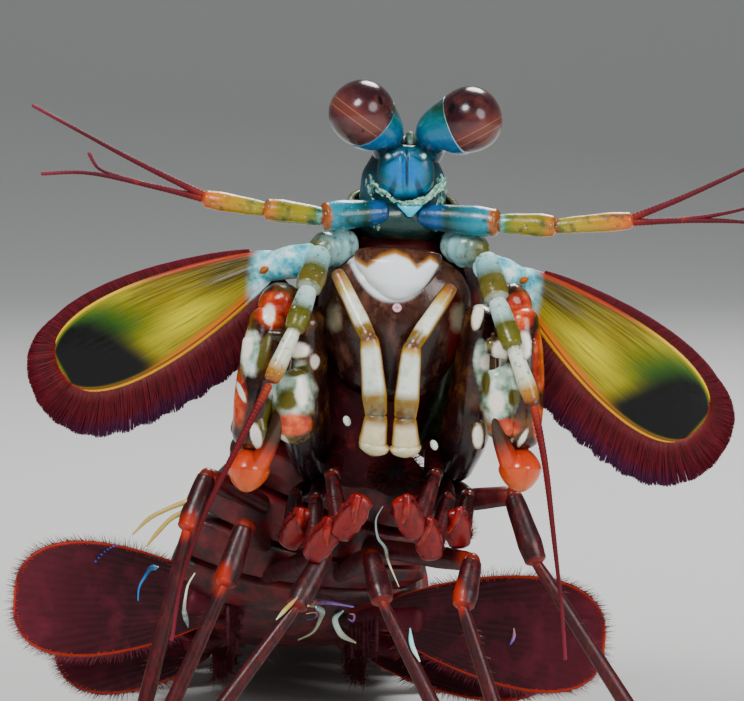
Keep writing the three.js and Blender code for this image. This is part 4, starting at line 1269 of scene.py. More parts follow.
# Bulges of the forearm: their ends in the picture, half width in millimetres and depth.
CLAW_LOBES = {
    "right": [
        ((291, 368), (296, 444), 2.35, -9.0),
        ((250, 336), (248, 398), 1.0, -9.2),
        ((284, 346), (310, 354), 1.0, -9.4),
        ((262, 334), (300, 338), 0.8, -9.0),
        ((257, 412), (262, 450), 1.0, -9.4),
    ],
    "left": [
        ((499, 366), (502, 440), 2.0, -9.0),
        ((480, 306), (476, 332), 0.8, -8.4),
        ((484, 344), (514, 352), 1.1, -9.4),
        ((532, 338), (530, 430), 1.0, -9.0),
        ((478, 420), (479, 450), 0.8, -8.0),
    ],
}

def claw_paint(tree):
    pearls = [(0.32, "#5c5a24"), (0.42, "#88a890"), (0.55, "#bcd4c4"), (0.68, "#f0f6ea")]
    embers = [(0.35, "#8c180a"), (0.5, "#c83a10"), (0.65, "#f0743a")]
    return lay(
        tree,
        clouds(tree, 2.4, [(0.32, "#140604"), (0.5, "#361408"), (0.68, "#6c4418")], 5.0),
        ("lobe", clouds(tree, 1.2, [(0.4, "#30200c"), (0.6, "#7c6a34")])),
        (ragged(tree, "mint", 1.4), clouds(tree, 1.4, pearls, 5.0)),
        (ragged(tree, "olive", 1.2), "#5c5418"),
        (ragged(tree, "red", 1.3), clouds(tree, 1.8, embers)),
        # Near white where the mark white is high: the claw's cream spots, and painted highlights.
        (ragged(tree, "white", 0.8), "#fff2e4"),
        # Painted shade: near black where the mark deep is high.
        ("deep", "#1c0810"),
    )


def hammer_paint(tree):
    oranges = [(0.0, "#f0824a"), (0.35, "#ea5c1e"), (0.7, "#d03a10"), (1.0, "#6c120a")]
    return lay(tree, bands(tree, "height", 1.2, 0.3, oranges), ("spear", "#3c2410"))


class SHRIMP_OT_claws(bpy.types.Operator):
    """The two striking claws: the thick upper arm, the forearm with its lobes, and the hammer"""

    bl_idname = "shrimp.claws"
    bl_label = "Striking Claws"

    def execute(self, context):
        # Clear claw cuticle over pearly mint and olive muscle, with red and orange patches, white patches
        # that are partly painted highlights, and painted shade at the foot of the upper arm.
        arm_finish = material("Claw_Cuticle", claw_paint, roughness=0.24, **WET, **SOFT)
        # Hard impact-worn enamel of the hammer: glossy orange, redder above, with a dark spear.
        hammer = material("Hammer_Enamel", hammer_paint, depth=0.02, size=0.4, roughness=0.2, **WET)

        def groove(share, angle):
            return 1 - 0.05 * hill(angle, 1.6, 0.25) * np.sin(math.pi * share)

        def squared(share, angle):
            return 1 + 0.03 * np.cos(2 * angle) * np.sin(math.pi * share)

        for side, sign in SIDES.items():
            ovals = CLAW_PATCHES[side]
            axis = [beside(sign, *place) for place in ((7.2, 3.0, 29.8), (8.9, -1.2, 38), (9.2, -3.6, 48.4))]
            sizes = [(2.0, 2.6), (2.6, 4.0), (2.7, 4.2), (2.4, 3.2), (1.8, 2.2)]
            merus = tube(axis, sizes, rows=90, sides=64, relief=groove)
            # Painted shade: the upper arm is near black below about 34 mm, where it runs back into the body
            # behind the other limbs.
            merus["marks"]["deep"] = smooth(merus["points"][:, 2], 37.0, 33.5)
            piece(f"claw_merus_{side}", [patches(merus, ovals)], arm_finish)

            ends = beside(sign, 9.8, -5.0, 49.4), beside(sign, 14.2, -6.6, 48.2)
            wrist = bulb(*ends, 2.3, 2.4, wide=UP, rows=50, sides=56)
            places = ((13.0, -6.6, 48.6), (13.8, -7.7, 41), (14.2, -7.4, 33.6))
            axis = [beside(sign, *place) for place in places]
            sizes = [(1.8, 2.2), (2.2, 2.7), (2.2, 2.7), (1.9, 2.3)]
            limbs = [tube(axis, sizes, rows=90, sides=64, relief=squared), wrist]
            for first, last, wide, y in CLAW_LOBES[side]:
                ends = photo(*first, y), photo(*last, y)
                limbs.append(bulb(*ends, wide, 0.8 * wide, rows=36, sides=36, blunt=0.9, lobe=1))
            limbs = [patches(part, ovals) for part in limbs]
            piece(f"claw_propodus_{side}", limbs, arm_finish)

            ends = beside(sign, 14.0, -7.6, 34.0), beside(sign, 14.4, -8.2, 29.2)
            heel = bulb(*ends, 2.3, 2.5, blunt=1.5, rows=50, sides=64)
            places = ((13.4, -8.8, 31.6), (11.6, -9.6, 36), (10.8, -9.2, 41.5), (10.4, -8.6, 46))
            axis = [beside(sign, *place) for place in places]
            spear = tube(axis, [(1.2, 1.1), 0.8, 0.6, 0.3], rows=70, sides=32)
            spear["marks"]["spear"] = smooth(spear["marks"]["along"], 0.12, 0.3)
            for part in (heel, spear):
                part["marks"]["height"] = (part["points"][:, 2] - 28) / 7
            piece(f"claw_dactyl_{side}", [heel, spear], hammer)
        return {"FINISHED"}


# Maxillipeds and walking legs.

MAXILLIPEDS = [
    [(5.0, 3.4, 33.4), (5.4, -4.6, 30.4), (3.9, -8.4, 24.9), (1.9, -9.6, 29.0)],
    [(5.6, 5.0, 30.6), (7.0, -3.2, 27.8), (6.2, -6.8, 22.4), (4.6, -8.0, 26.4)],
    [(6.0, 6.6, 29.0), (9.2, -0.4, 27.8), (9.0, -3.4, 23.2), (7.8, -4.6, 27.0)],
]
# The hips are at a length along the spine, and each leg lists its knee, ankle and foot.
LEGS = [
    (
        36,
        {
            "right": [(-20.5, -1, 30), (-22.5, -3, 24.5), (-28.5, -5, 0)],
            "left": [(12, -1, 28), (14.5, -3, 21), (28, -6, 0)],
        },
    ),
    (
        41,
        {
            "right": [(-16.5, -4, 25), (-18.5, -6, 19), (-27, -9, 0)],
            "left": [(7.6, -5.5, 21.5), (6.6, -8, 17), (12, -10, 0)],
        },
    ),
    (
        46,
        {
            "right": [(-8, -5, 22), (-11, -8, 17), (-24, -13, 0)],
            "left": [(-3, -5, 22), (-1.8, -8, 17.5), (7, -13, 0)],
        },
    ),
]
HAND_REDS = [
    (0.0, "#1c0408"), (0.35, "#2c060a"), (0.58, "#4c060c"), (0.72, "#780408"), (0.92, "#900608"),
    (1.0, "#a8240c"),
]
LEG_REDS = [
    (0.0, "#34080e"), (0.3, "#420a10"), (0.335, "#9c2810"), (0.36, "#34080e"), (0.63, "#30070e"),
    (0.66, "#8c2010"), (0.69, "#340810"), (0.93, "#460c12"), (1.0, "#9c3814"),
]
# Where the legs and the flanks glow orange, as ovals in the picture.
GLOWS = {
    "glow": [(187, 525, 9, 15, 0.3), (222, 578, 8, 18, 0.3), (457, 598, 8, 20, 0), (508, 562, 10, 16, -0.3)]
}


def limb_paint(stops, vein, joint):
    """Paint along a limb, with wandering veins, coloured joints and orange glows."""

    def paint(tree):
        veins = clouds(tree, 1.3, [(0.5, 0.0), (0.56, 1.0), (0.6, 0.0)], 6.0, (1, 1, 0.4))
        ground = bands(tree, "along", 1.6, 0.04, stops)
        return lay(tree, ground, (veins, vein), ("hinge", joint), ("glow", "#b82808"))

    return paint


class SHRIMP_OT_maxillipeds(bpy.types.Operator):
    """The folded feeding limbs under the mouth, each with a flat red hand and a hooked finger"""

    bl_idname = "shrimp.maxillipeds"
    bl_label = "Maxillipeds"

    def execute(self, context):
        # Bright red swollen hands on near-black maroon arms, both glossy.
        paint = limb_paint(HAND_REDS, "#5c080c", "#7c1c0a")
        finish = material("Maxilliped_Cuticle", paint, size=0.4, roughness=0.3, **WET)

        def swelling(share, angle):
            return 1 + 0.05 * np.cos(share * 20) * np.cos(angle) ** 2

        for i, data in enumerate(MAXILLIPEDS):
            for side, sign in SIDES.items():
                a, b, c, d = [beside(sign, *place) for place in data]
                palm = (c + d) / 2
                turned = np.array([sign, 1, 1])
                arm = limb([a, b, c], [1.0, 0.95], 34, sides=28)
                hand = bulb(c - (d - c) * 0.15, d, 1.6, 0.85, rows=40, sides=44, relief=swelling)
                hook = turned * [(0.6, -0.3, 0.3), (-0.2, -1.2, 0.6), (-1.4, -1.2, 1.2)]
                finger = tube(np.array([d, palm, c]) + hook, [0.55, 0.45, 0.2], rows=30, sides=20)
                rim = turned * [(1.2, -0.4, 0.5), (1.5, -0.6, 0), (1.0, -0.4, -0.4)] + [c, palm, d]
                away = turned * (0.7, -0.5, 0.2)
                hair = bristles_on(Course(rim), np.linspace(0, 1, 46), away, 1.2, 0.035, 40 + i)
                parts = [arm, hand, finger, hair]
                for part, low, span in zip(parts, (0, 0.7, 0.9, 0.55), (0.6, 0.25, 0.1, 0.3)):
                    part["marks"]["along"] = low + span * part["marks"]["along"]
                name = f"maxilliped_{i + 3}_{side}"
                piece(name, parts, finish)
        return {"FINISHED"}


class SHRIMP_OT_walking_legs(bpy.types.Operator):
    """Three pairs of thin jointed legs with orange joints, red veins and bristles"""

    bl_idname = "shrimp.walking_legs"
    bl_label = "Walking Legs"

    def execute(self, context):
        # Dark maroon leg cuticle with red veins and orange joints, less glossy than the claws.
        waxy = {"roughness": 0.4, "Coat_Weight": 0.1, "Specular_IOR_Level": 0.35}
        paint = limb_paint(LEG_REDS, "#581014", "#7c200c")
        finish = material("Walking_Leg_Cuticle", paint, size=0.35, **waxy)
        count = context.scene.shrimp_look.leg_hairs // 2
        for i, (hip, legs) in enumerate(LEGS):
            for side, sign in SIDES.items():
                knee, ankle, foot = legs[side]
                joints = [under(hip, sign, 6 - i, 2.6), knee, ankle, foot]
                made = [limb(joints, [1.15, 1.26, 0.83], 48, sides=28)]
                for turn, way in enumerate(([sign, -0.4, 0.1], [-sign * 0.8, -0.6, 0.1])):
                    runs = np.sort(np.random.default_rng(60 + turn).uniform(0.12, 0.95, count))
                    hair = bristles_on(Course([ankle, foot]), runs, np.array(way), 1.7, 0.04, 70 + i + turn)
                    hair["marks"]["along"] = 0.9 + 0.1 * hair["marks"]["along"]
                    made.append(hair)
                name = f"walking_leg_{i + 1}_{side}"
                piece(name, [grounded(patches(gather(made), GLOWS))], finish)
        return {"FINISHED"}


# Pleopods.

# Each pair's place along the spine, its leaves' ends, their half width, and how upright they stand.
PLEOPODS = [
    (53, {"right": [(-19, 17, 14), (-42, 9.5, 15.5)], "left": [(-2, 17, 12.5), (22.5, 9.5, 10.5)]}, 6.4, 1),
    (63, {"right": [(-21, 28, 7.4), (-38.5, 21, 8)], "left": [(-3.5, 28, 7.0), (18, 21, 7)]}, 5.6, 0.5),
    (75, {"right": [(-21, 42, 5.6), (-33.5, 46, 3.6)], "left": [(-3.5, 42, 5.6), (9.5, 46, 3.6)]}, 4.8, 0.2),
    (87, {"right": [(-21, 55, 5.6), (-33, 59, 3.4)], "left": [(-3, 55, 5.6), (9.5, 59, 3.4)]}, 4.6, 0.2),
    (99, {"right": [(-19, 68, 5.2), (-30.5, 72, 3.2)], "left": [(-2.4, 68, 5.2), (9.2, 72, 3.2)]}, 4.2, 0.2),
]


def leaf_paint(tree):
    return lay(
        tree,
        bands(tree, "along", 2.0, 0.3, [(0.0, "#2c0810"), (0.5, "#460c18"), (1.0, "#580f20")]),
        (flecks(tree, 3.0, 0.5, 0.75, 0.7, 5.0), "#741c30"),
        ("rib", "#501426"),
        (ragged(tree, "rim", 0.8), "#b82a0a"),
        ("gill", "#4c1420"),
    )


def rib_at(u, v):
    """How far a place of a leaf lies on a rib, from 0 to 1: the ribs fan out from below its root."""
    return np.sin(np.arctan2(v * egg(u), u + 1.4) * 46) ** 4


class SHRIMP_OT_pleopods(bpy.types.Operator):
    """Five pairs of swimming legs: a ribbed leaf with a fringe, a stem and branching gills"""

    bl_idname = "shrimp.pleopods"
    bl_label = "Pleopods"

    def execute(self, context):
        # Thin dull maroon membrane with raised ribs and a ragged orange edge.
        finish = material("Pleopod_Membrane", leaf_paint, **DULL)
        # Fine bristles, orange at the root and wine red beyond.
        reds = banded([(0.0, "#b8300c"), (0.4, "#6c1020"), (1.0, "#8a3048")])
        bristle = material("Pleopod_Bristle", reds, roughness=0.5)
        for i, (place, leaves, half, rise) in enumerate(PLEOPODS):
            for side, sign in SIDES.items():
                start, end = np.array(leaves[side], float)
                wide = unit(np.array([0, 1 - rise, 0.25 + rise]))
                blade = {"from": start, "to": end, "wide": wide, "half": half, "depth": 0.34}
                leaf = paddle(blade, 64, 104, lambda u, v: 0.75 + 0.25 * rib_at(u, v))
                u, v = leaf["marks"]["along"], leaf["marks"]["across"]
                leaf["marks"]["rib"] = 0.6 * rib_at(u, v)
                leaf["marks"]["rim"] = smooth(np.abs(v), 0.93, 0.985) + smooth(u, 0.97, 0.99)
                hip = under(place, sign, 5.5, 3.4)
                stem_end = start + (end - start) * 0.2
                stem = tube([hip, stem_end], [(1.7, 1.4), (1.5, 1.1)], wide, rows=24, sides=28)
                gills = []
                draw = np.random.default_rng(80 + i)
                for k in range(7):
                    root = hip + (start - hip) * (0.3 + 0.1 * k)
                    tip = root - wide * 5.0 * draw.uniform(0.75, 1.0) + [0, -1.5 + 0.3 * (k % 3), 0]
                    trunk = Course([root, (root + tip) / 2 + [0, -0.4, 0], tip])
                    runs = np.repeat(np.linspace(0.1, 0.98, 20), 3)
                    threads = bristles_on(trunk, runs, np.zeros(3), 1.5, 0.06, 90 + k, spread=1.0)
                    threads["marks"]["gill"] = np.ones(len(threads["points"]))
                    gills += [tube(trunk, [0.4, 0.3, 0.12], rows=14, sides=8, gill=1), threads]
                name = f"pleopod_{i + 1}_{side}"
                piece(name, [grounded(gather([leaf, stem, *gills]))], finish)
                angle = np.linspace(-2.2, 2.2, 760)
                rim = edge_of(blade, angle)
                out = unit(rim - (start + end) / 2)
                short = draw.uniform(0.4, 1.5, len(angle))
                out = unit(out + draw.normal(0, 0.16, out.shape))
                pick = draw.uniform(0, 1, len(angle))
                hair = grounded(hairs(rim - out * 0.5, out, short + 0.3, 0.05, steps=3, seeds=pick))
                bake_marks(hair, angle)
                piece(f"pleopod_fringe_{i + 1}_{side}", [hair], bristle)
        return {"FINISHED"}


# The trunk.


def stretch(start, end, steps=8):
    """The body's axis between two lengths along it, as a curve."""
    return Course(spine(np.linspace(start, end, steps))[0])


def shell_paint(base):
    """Clouded olive over the back and dark maroon on the flanks, with the given colour in the middle."""

    def paint(tree):
        return lay(
            tree,
            clouds(tree, 3.0, [(0.3, "#26330f"), (0.5, base), (0.7, "#6c7a34")], 5.0),
            (flecks(tree, 0.8, 0.55, 0.75, 0.5), "#8a8a3c"),
            ("flank", clouds(tree, 2.2, [(0.35, "#26060e"), (0.5, "#541018"), (0.68, "#7c1a20")], 5.0)),
            ("glow", "#c8300c"),
            ("margin", "#8a1a1c"),
            ("outline", "#1c140a"),
            ("spot", "#e8e2c4"),
        )

    return paint


class SHRIMP_OT_flesh(bpy.types.Operator):
    """The soft underside of the thorax as one skin"""

    bl_idname = "shrimp.flesh"
    bl_label = "Flesh"

    def execute(self, context):
        # Soft dark maroon belly skin: wrinkled, with a dull gloss.
        paint = banded([(0.0, "#5c1418"), (0.5, "#4c0e18"), (1.0, "#3c0a14")], ("#84242c", 1.2, 0.55, 0.75))
        finish = material("Belly_Skin", paint, depth=0.08, size=0.6, roughness=0.55, Specular_IOR_Level=0.2)

        def folds(share, angle):
            return 1 + 0.015 * np.sin(share * 60)

        sizes = [(4.6, 4.2), (6.0, 4.8), (6.8, 4.8), (7.0, 4.8)]
        skin = tube(stretch(3, 34), sizes, rows=120, sides=90, relief=folds)
        piece("flesh", [skin], finish, ["underbody"])
        return {"FINISHED"}


def open_shell(course, sizes, reach, thick, rows, sides, relief):
    """A curved sheet over the back: the arched section from -reach to 180+reach degrees, with an inner
    face thick millimetres inside it, closed along its edges and ends."""
    pairs = np.array(sizes, float)
    share = np.linspace(0, 1, rows)
    half = [np.interp(share, np.linspace(0, 1, len(pairs)), pairs[:, k]) for k in (0, 1)]
    at, along = course.at(share), course.along(share)
    across = unit(ACROSS - along * (along @ ACROSS)[:, None])
    deep = np.cross(across, along)
    angle = np.radians(np.linspace(-reach, 180 + reach, sides))
    a, b = arched_section(angle)
    lift = relief(share[:, None], angle[None, :])
    sheets = []
    for inward in (0, thick):
        w, d = half[0][:, None] * lift - inward, half[1][:, None] * lift - inward
        sheets.append(at[:, None] + across[:, None] * (w * a)[..., None] + deep[:, None] * (d * b)[..., None])
    points = np.vstack([s.reshape(-1, 3) for s in sheets])
    corner = np.arange(rows * sides).reshape(rows, sides)
    under_ = corner + rows * sides
    outer = np.stack([corner[:-1, :-1], corner[1:, :-1], corner[1:, 1:], corner[:-1, 1:]], -1).reshape(-1, 4)
    inner = np.stack([under_[:-1, :-1], under_[:-1, 1:], under_[1:, 1:], under_[1:, :-1]], -1).reshape(-1, 4)
    rim = np.concatenate([corner[0, :-1], corner[:-1, -1], corner[-1, :0:-1], corner[:0:-1, 0]])
    onward = np.roll(rim, -1)
    wall = np.stack([rim, onward, onward + rows * sides, rim + rows * sides], -1)
    quads, tris = np.vstack([outer, inner, wall]), np.zeros((0, 3), int)
    lengthwise = np.tile(np.repeat(share, sides), 2)
    return form(points, quads, tris, along=lengthwise, turn=np.tile(np.degrees(angle), 2 * rows))


def spots(made, centres, radius, seed):
    """Lens-shaped pale spots with dark outlines: near each centre, the distance over the spot's radius."""
    draw = np.random.default_rng(seed)
    far = np.full(len(made["points"]), 9.0)
    for centre in centres:
        snapped = made["points"][np.linalg.norm(made["points"] - centre, axis=1).argmin()]
        off = made["points"] - snapped
        lens = unit(draw.normal(size=3) * [1, 0.2, 1])
        longer = off @ lens
        shorter = np.linalg.norm(off - longer[:, None] * lens, axis=1)
        far = np.minimum(far, np.hypot(longer / (radius * 1.5), shorter / (radius * 0.8)))
    made["marks"]["spot"] = smooth(far, 1.0, 0.8)
    made["marks"]["outline"] = near(far, 1.12, 0.08, 0.14)
    return made


class SHRIMP_OT_carapace(bpy.types.Operator):
    """The arched shield over the back of the head and the front of the thorax"""

    bl_idname = "shrimp.carapace"
    bl_label = "Carapace"

    def execute(self, context):
        # Olive carapace with pale leopard spots on the front of its sides, waxed by water.
        paint = shell_paint(context.scene.shrimp_look.shell_colour)
        finish = material("Carapace_Cuticle", paint, depth=0.04, size=0.6, roughness=0.3, **WET)

        def relief(share, angle):
            gutter = -0.02 * hill(np.abs(angle - math.pi / 2), 0.75, 0.07)
            crest = 0.012 * hill(angle, math.pi / 2, 0.05)
            return 0.985 + 0.03 * smooth(share, 0.95, 0.985) + gutter + crest

        half = 13
        shares = [(0.46, 0.45), (0.7, 0.6), (0.9, 0.67), (1, 0.7), (0.98, 0.69)]
        course = stretch(0.7, 30.8)
        shell = open_shell(course, np.array(shares) * half, 38, 0.7, 100, 140, relief)
        marks = shell["marks"]
        marks["margin"] = smooth(marks["along"], 0.955, 0.975)
        marks["flank"] = smooth(np.abs(marks["turn"] - 90), 95, 118)
        at = course.at(np.array([0.14, 0.2, 0.3, 0.24, 0.34, 0.42]))
        offsets = zip(at, (6.4, 8.8, 10.8, 7.4, 9.6, 11.6), (0, -2, -1, 2, 3, 0))
        spots(shell, [p + [sign * out, back, 0] for p, out, back in offsets for sign in (-1, 1)], 0.9, 21)
        piece("carapace", [shell], finish)
        return {"FINISHED"}


def ring_plate(start, end, sizes, seed, ridges=()):
    """One ring of the body: the arched section along a stretch of the axis, with a raised hind rim, a
    sunken front and shallow ridges along it."""

    def relief(share, angle):
        ridge = sum(0.02 * hill(angle, math.pi / 2 + bearing, 0.035) for bearing in ridges)
        ends = 0.025 * smooth(share, 0.9, 0.95) - 0.05 * smooth(share, 0.16, 0.06)
        return 0.985 + ends + ridge * np.sin(math.pi * share) ** 0.5

    course = stretch(start, end)
    made = tube(course, sizes, rows=40, sides=140, blunt=0.12, section=arched_section, relief=relief)
    marks = made["marks"]
    bumpy = 1 + 0.004 * wave(made["points"], 2.0, seed)
    middle = course.at(marks["along"])
    made["points"] = middle + (made["points"] - middle) * bumpy[:, None]
    marks["margin"] = smooth(marks["along"], 0.86, 0.9) * smooth(marks["raised"], -0.3, 0.0)
    marks["flank"] = smooth(marks["raised"], 0.15, -0.25)
    patches(made, GLOWS)
    marks["glow"] *= marks["flank"]
    return made


class SHRIMP_OT_body_rings(bpy.types.Operator):
    """The free rings of the thorax and the six rings of the abdomen"""

    bl_idname = "shrimp.body_rings"
    bl_label = "Body Rings"

    def execute(self, context):
        # Olive ring cuticle with a dark red hind margin and maroon flanks, duller than the carapace.
        paint = shell_paint(context.scene.shrimp_look.shell_colour)
        finish = material("Body_Ring_Cuticle", paint, depth=0.06, size=0.6, roughness=0.42, Coat_Weight=0.1)
        for name, start, end in (("thorax_front", 30.6, 41), ("thorax_rear", 41, 51)):
            swell = 1 + 0.012 * (start - 31)
            sizes = [(12.5 * swell * k, 6.9 * k) for k in (0.9, 1.0, 0.93, 1.02, 1.03)]
            half = (end - start) / 2
            front = ring_plate(start, start + half, sizes[:3], 0)
            rear = ring_plate(start + half, end, sizes[2:], 1)
            piece(name, [front, rear], finish)
        length = (124 - 51) / 6
        for i, scale in enumerate((1.0, 1.0, 1.0, 1.0, 0.97, 0.88)):
            start = 51 + i * length - 1.6
            half = 13.5 * scale
            sizes = [(half * k, 0.52 * half * k) for k in (0.86, 0.93, 0.97, 1, 1.04)]
            ridges = (-0.95, -0.55, 0.55, 0.95) if i < 5 else (-0.95, -0.6, -0.2, 0.2, 0.6, 0.95)
            plate = ring_plate(start, start + length + 1.6, sizes, 30 + i, ridges)
            piece(f"abdomen_{i + 1}", [plate], finish)
        return {"FINISHED"}


# Each gleam's course in the picture, its half width in millimetres and its place in the range of shades.
GLEAMS = [
    ([(138, 601), (139, 588), (146, 575), (158, 567)], 0.3, 0.0),
    ([(188, 627), (185, 600), (188, 585), (195, 573)], 0.28, 0.4),
    ([(410, 628), (412, 645), (420, 662)], 0.26, 0.3),
    ([(514, 628), (514, 637), (510, 645)], 0.18, 0.9),
    ([(316, 607), (321, 617), (312, 633), (298, 640)], 0.34, 0.45),
    ([(343, 611), (335, 620), (341, 634), (356, 643)], 0.34, 0.45),
    ([(306, 614), (311, 613), (312, 619), (307, 620)], 0.14, 0.9),
    ([(349, 614), (354, 615), (353, 621), (348, 619)], 0.14, 0.9),
    ([(308, 606), (331, 603), (354, 607)], 0.42, 0.85),
    ([(276, 620), (287, 608), (298, 597)], 0.24, 0.65),
    ([(383, 506), (376, 520), (378, 538), (384, 546), (390, 566), (399, 587)], 0.2, 0.45),
]
TRUNK = ["thorax_front", "thorax_rear", "abdomen_1", "abdomen_2", "carapace", "flesh"]
TRUNK += [f"pleopod_{i}_{side}" for i in (1, 2) for side in SIDES]
TRUNK += [f"walking_leg_{i}_{side}" for i in (1, 2, 3) for side in SIDES]


def gleam_paint(tree):
    shades = [(0.0, "#1c8ae0"), (0.2, "#7ce4f0"), (0.45, "#e8fff0"), (0.65, "#c8b040")]
    shades += [(0.85, "#b87a90"), (1.0, "#8a6ae0")]
    return lay(tree, ramp(tree, mark(tree, "shade"), shades), ("blue", "#2c50e0"))


class SHRIMP_OT_underside(bpy.types.Operator):
    """The pale curls, gleaming crescents, gold rods and blue dots on the limb bases"""

    bl_idname = "shrimp.underside"
    bl_label = "Underside"

    def execute(self, context):
        # Polished edges of the limb bases, with the blue, mint and violet light that they throw back painted
        # into their colour.
        finish = material("Underside_Gleam", gleam_paint, depth=0.01, size=0.3, roughness=0.25, **WET)
        made = []
        for places, size, shade in GLEAMS:
            course = front_of(*np.array(places).T, TRUNK) + [0, 0.05, 0]
            made.append(tube(course, [size * 0.25, size, size, size * 0.25], rows=50, sides=16))
            made[-1]["marks"]["shade"] = shade + 0.25 * (made[-1]["marks"]["along"] - 0.5)
        rods = (((191, 170, 150, 132), (500, 508, 518, 535)), ((184, 172, 158, 146), (512, 518, 532, 547)))
        for px, py in rods:
            made.append(tube(photo(px, py, -2.4), [0.3, 0.24, 0.24, 0.08], rows=40, sides=16, shade=0.68))
        turn = np.linspace(0, 1, 8)
        dots = front_of(95 + 21 * turn, 562 - 16 * turn - 3 * np.sin(turn * math.pi), TRUNK)
        made += [bulb(dot, dot + [0.16, -0.06, 0.1], 0.14, 0.12, rows=6, sides=10, blue=1) for dot in dots]
        piece("underside", made, finish)
        return {"FINISHED"}


def mouth_paint(tree):
    reds = ramp(tree, mark(tree, "pick"), [(0.0, "#12040a"), (0.5, "#3c0a10"), (1.0, "#7a2018")])
    # Near white where the mark white is 1: the painted highlights.
    return lay(tree, reds, ("white", "#f4fff4"))


class SHRIMP_OT_mouth(bpy.types.Operator):
    """The dark mouth behind the limbs, ringed with hairs, and two small bulbs painted white as highlights"""

    bl_idname = "shrimp.mouth"
    bl_label = "Mouth"

    def execute(self, context):
        # Near-black dull mouth with dark red hairs, and two white spots that are painted highlights.
        finish = material("Mouth_Skin", mouth_paint, roughness=0.7, Specular_IOR_Level=0.15)
        draw = np.random.default_rng(31)
        count = 900
        pit = bulb(photo(395, 452, -1.0), photo(395, 496, 0.0), 3.0, 2.6, rows=40, sides=60)
        turn = draw.uniform(0, TURN, count)
        ring = draw.uniform(0.4, 1.05, count)
        roots = photo(395 + 30 * ring * np.cos(turn), 470 + 26 * ring * np.sin(turn), -2.6)
        inwards = unit(photo(395, 474, -6.0) - roots + draw.normal(0, 0.4, (count, 3)))
        hair = hairs(roots, inwards, draw.uniform(0.9, 2.1, count), 0.035, seeds=draw.uniform(0, 1, count))
        parts = [pit, hair]
        # Two small white bulbs: painted highlights.
        for x, y in ((347, 421), (434, 445)):
            parts.append(bulb(photo(x - 2, y - 5, -5.2), photo(x + 2, y + 5, -5.2), 0.4, 0.4, white=1))
        piece("mouth", parts, finish)
        return {"FINISHED"}


# The tail.

TELSON_EDGE = [
    (-0.72, -1), (-0.98, -0.35), (-1, 0.2), (-0.94, 0.48), (-0.82, 0.4), (-0.76, 0.82), (-0.6, 0.66),
    (-0.36, 1.0), (-0.2, 0.8), (0, 0.74), (0.2, 0.8), (0.36, 1.0), (0.6, 0.66), (0.76, 0.82),
    (0.82, 0.4), (0.94, 0.48), (1, 0.2), (0.98, -0.35), (0.72, -1), (0, -1),
]


def tail_paint(tree):
    return lay(
        tree,
        clouds(tree, 2.2, [(0.3, "#20300f"), (0.5, "#41592c"), (0.7, "#6a8040")], 5.0),
        ("ridge", "#8a9a4c"),
        ("blue", "#1f6ad0"),
        ("red", "#c8281c"),
        ("tip", "#f0b050"),
    )


def tail_finish():
    """The cuticle that the telson and the uropods share."""
    # Thick calcified cuticle, clouded green with red and gold tips, wet and glossy.
    return material("Tail_Cuticle", tail_paint, depth=0.05, roughness=0.32, **WET)


class SHRIMP_OT_telson(bpy.types.Operator):
    """The keeled tail plate with six teeth round its end"""

    bl_idname = "shrimp.telson"
    bl_label = "Telson"

    def execute(self, context):
        edge = np.array(TELSON_EDGE) * [9, 8]
        bearing = np.unwrap(np.arctan2(edge[:, 1], edge[:, 0]))
        turn = np.linspace(0, TURN, 240, endpoint=False)
        order = np.argsort(bearing % TURN)
        around = np.concatenate([(bearing % TURN)[order], [(bearing % TURN)[order][0] + TURN]])
        closed = np.vstack([edge[order], edge[order][:1]])
        wrapped = np.where(turn < around[0], turn + TURN, turn)
        rim = np.stack([np.interp(wrapped, around, closed[:, k]) for k in (0, 1)], -1)
        share = np.linspace(0, 1, 50)[1:]
        flat = rim[None] * share[:, None, None]
        x, y = flat[..., 0], flat[..., 1]
        high = 1.5
        for keel in (-0.66, -0.35, 0, 0.35, 0.66):
            middle = keel * 9 * (0.98 + 0.01 * y)
            height = 0.9 * hill(x, middle, 0.42) * smooth(y, 5.6 - 2 * abs(keel), 3.0 - 2 * abs(keel))
            high = high + height * smooth(y, -7.6, -5.5)
        swell = 3.0 * smooth(y, 1.0, -8.0) * np.maximum(1 - (x / 8.4) ** 2, 0)
        fall = smooth(share, 1.0, 0.93)[:, None]
        top = (high + swell) * (0.35 + 0.65 * fall)
        base = np.where(share > 0.97, 0.25 * smooth(share, 0.97, 1.0), 0)[:, None] + 0 * x
        upper, lower = np.stack([x, y, top], -1) + TELSON, np.stack([x, y, base], -1) + TELSON
        grid = np.concatenate([upper, lower[::-1]])[::-1]
        points, quads, tris = closed_grid(grid, TELSON, TELSON + [0, 0, 2.4])
        reach = np.append(np.repeat(np.concatenate([share, share[::-1]]), len(turn)), [0, 0])
        off = points - TELSON
        marks = {
            "tip": smooth(np.linalg.norm(off[:, :2], axis=1), 8.2, 9.3) * smooth(reach, 0.9, 0.97),
            "red": smooth(reach, 0.88, 0.96) * smooth(off[:, 1], 0, 3),
            "ridge": smooth(off[:, 2], 2.0, 2.6),
        }
        piece("telson", [form(points, quads, tris, **marks)], tail_finish())
        return {"FINISHED"}


# The root, the knuckle, and the ends of the outer blade, the inner blade and the spine between them.
UROPOD = np.array([(9, -12.5, 4.8), (12, -5.5, 2.4), (20.5, 8.5, 0.9), (13.8, 8.5, 0.9), (10.6, 3.5, 1.2)])


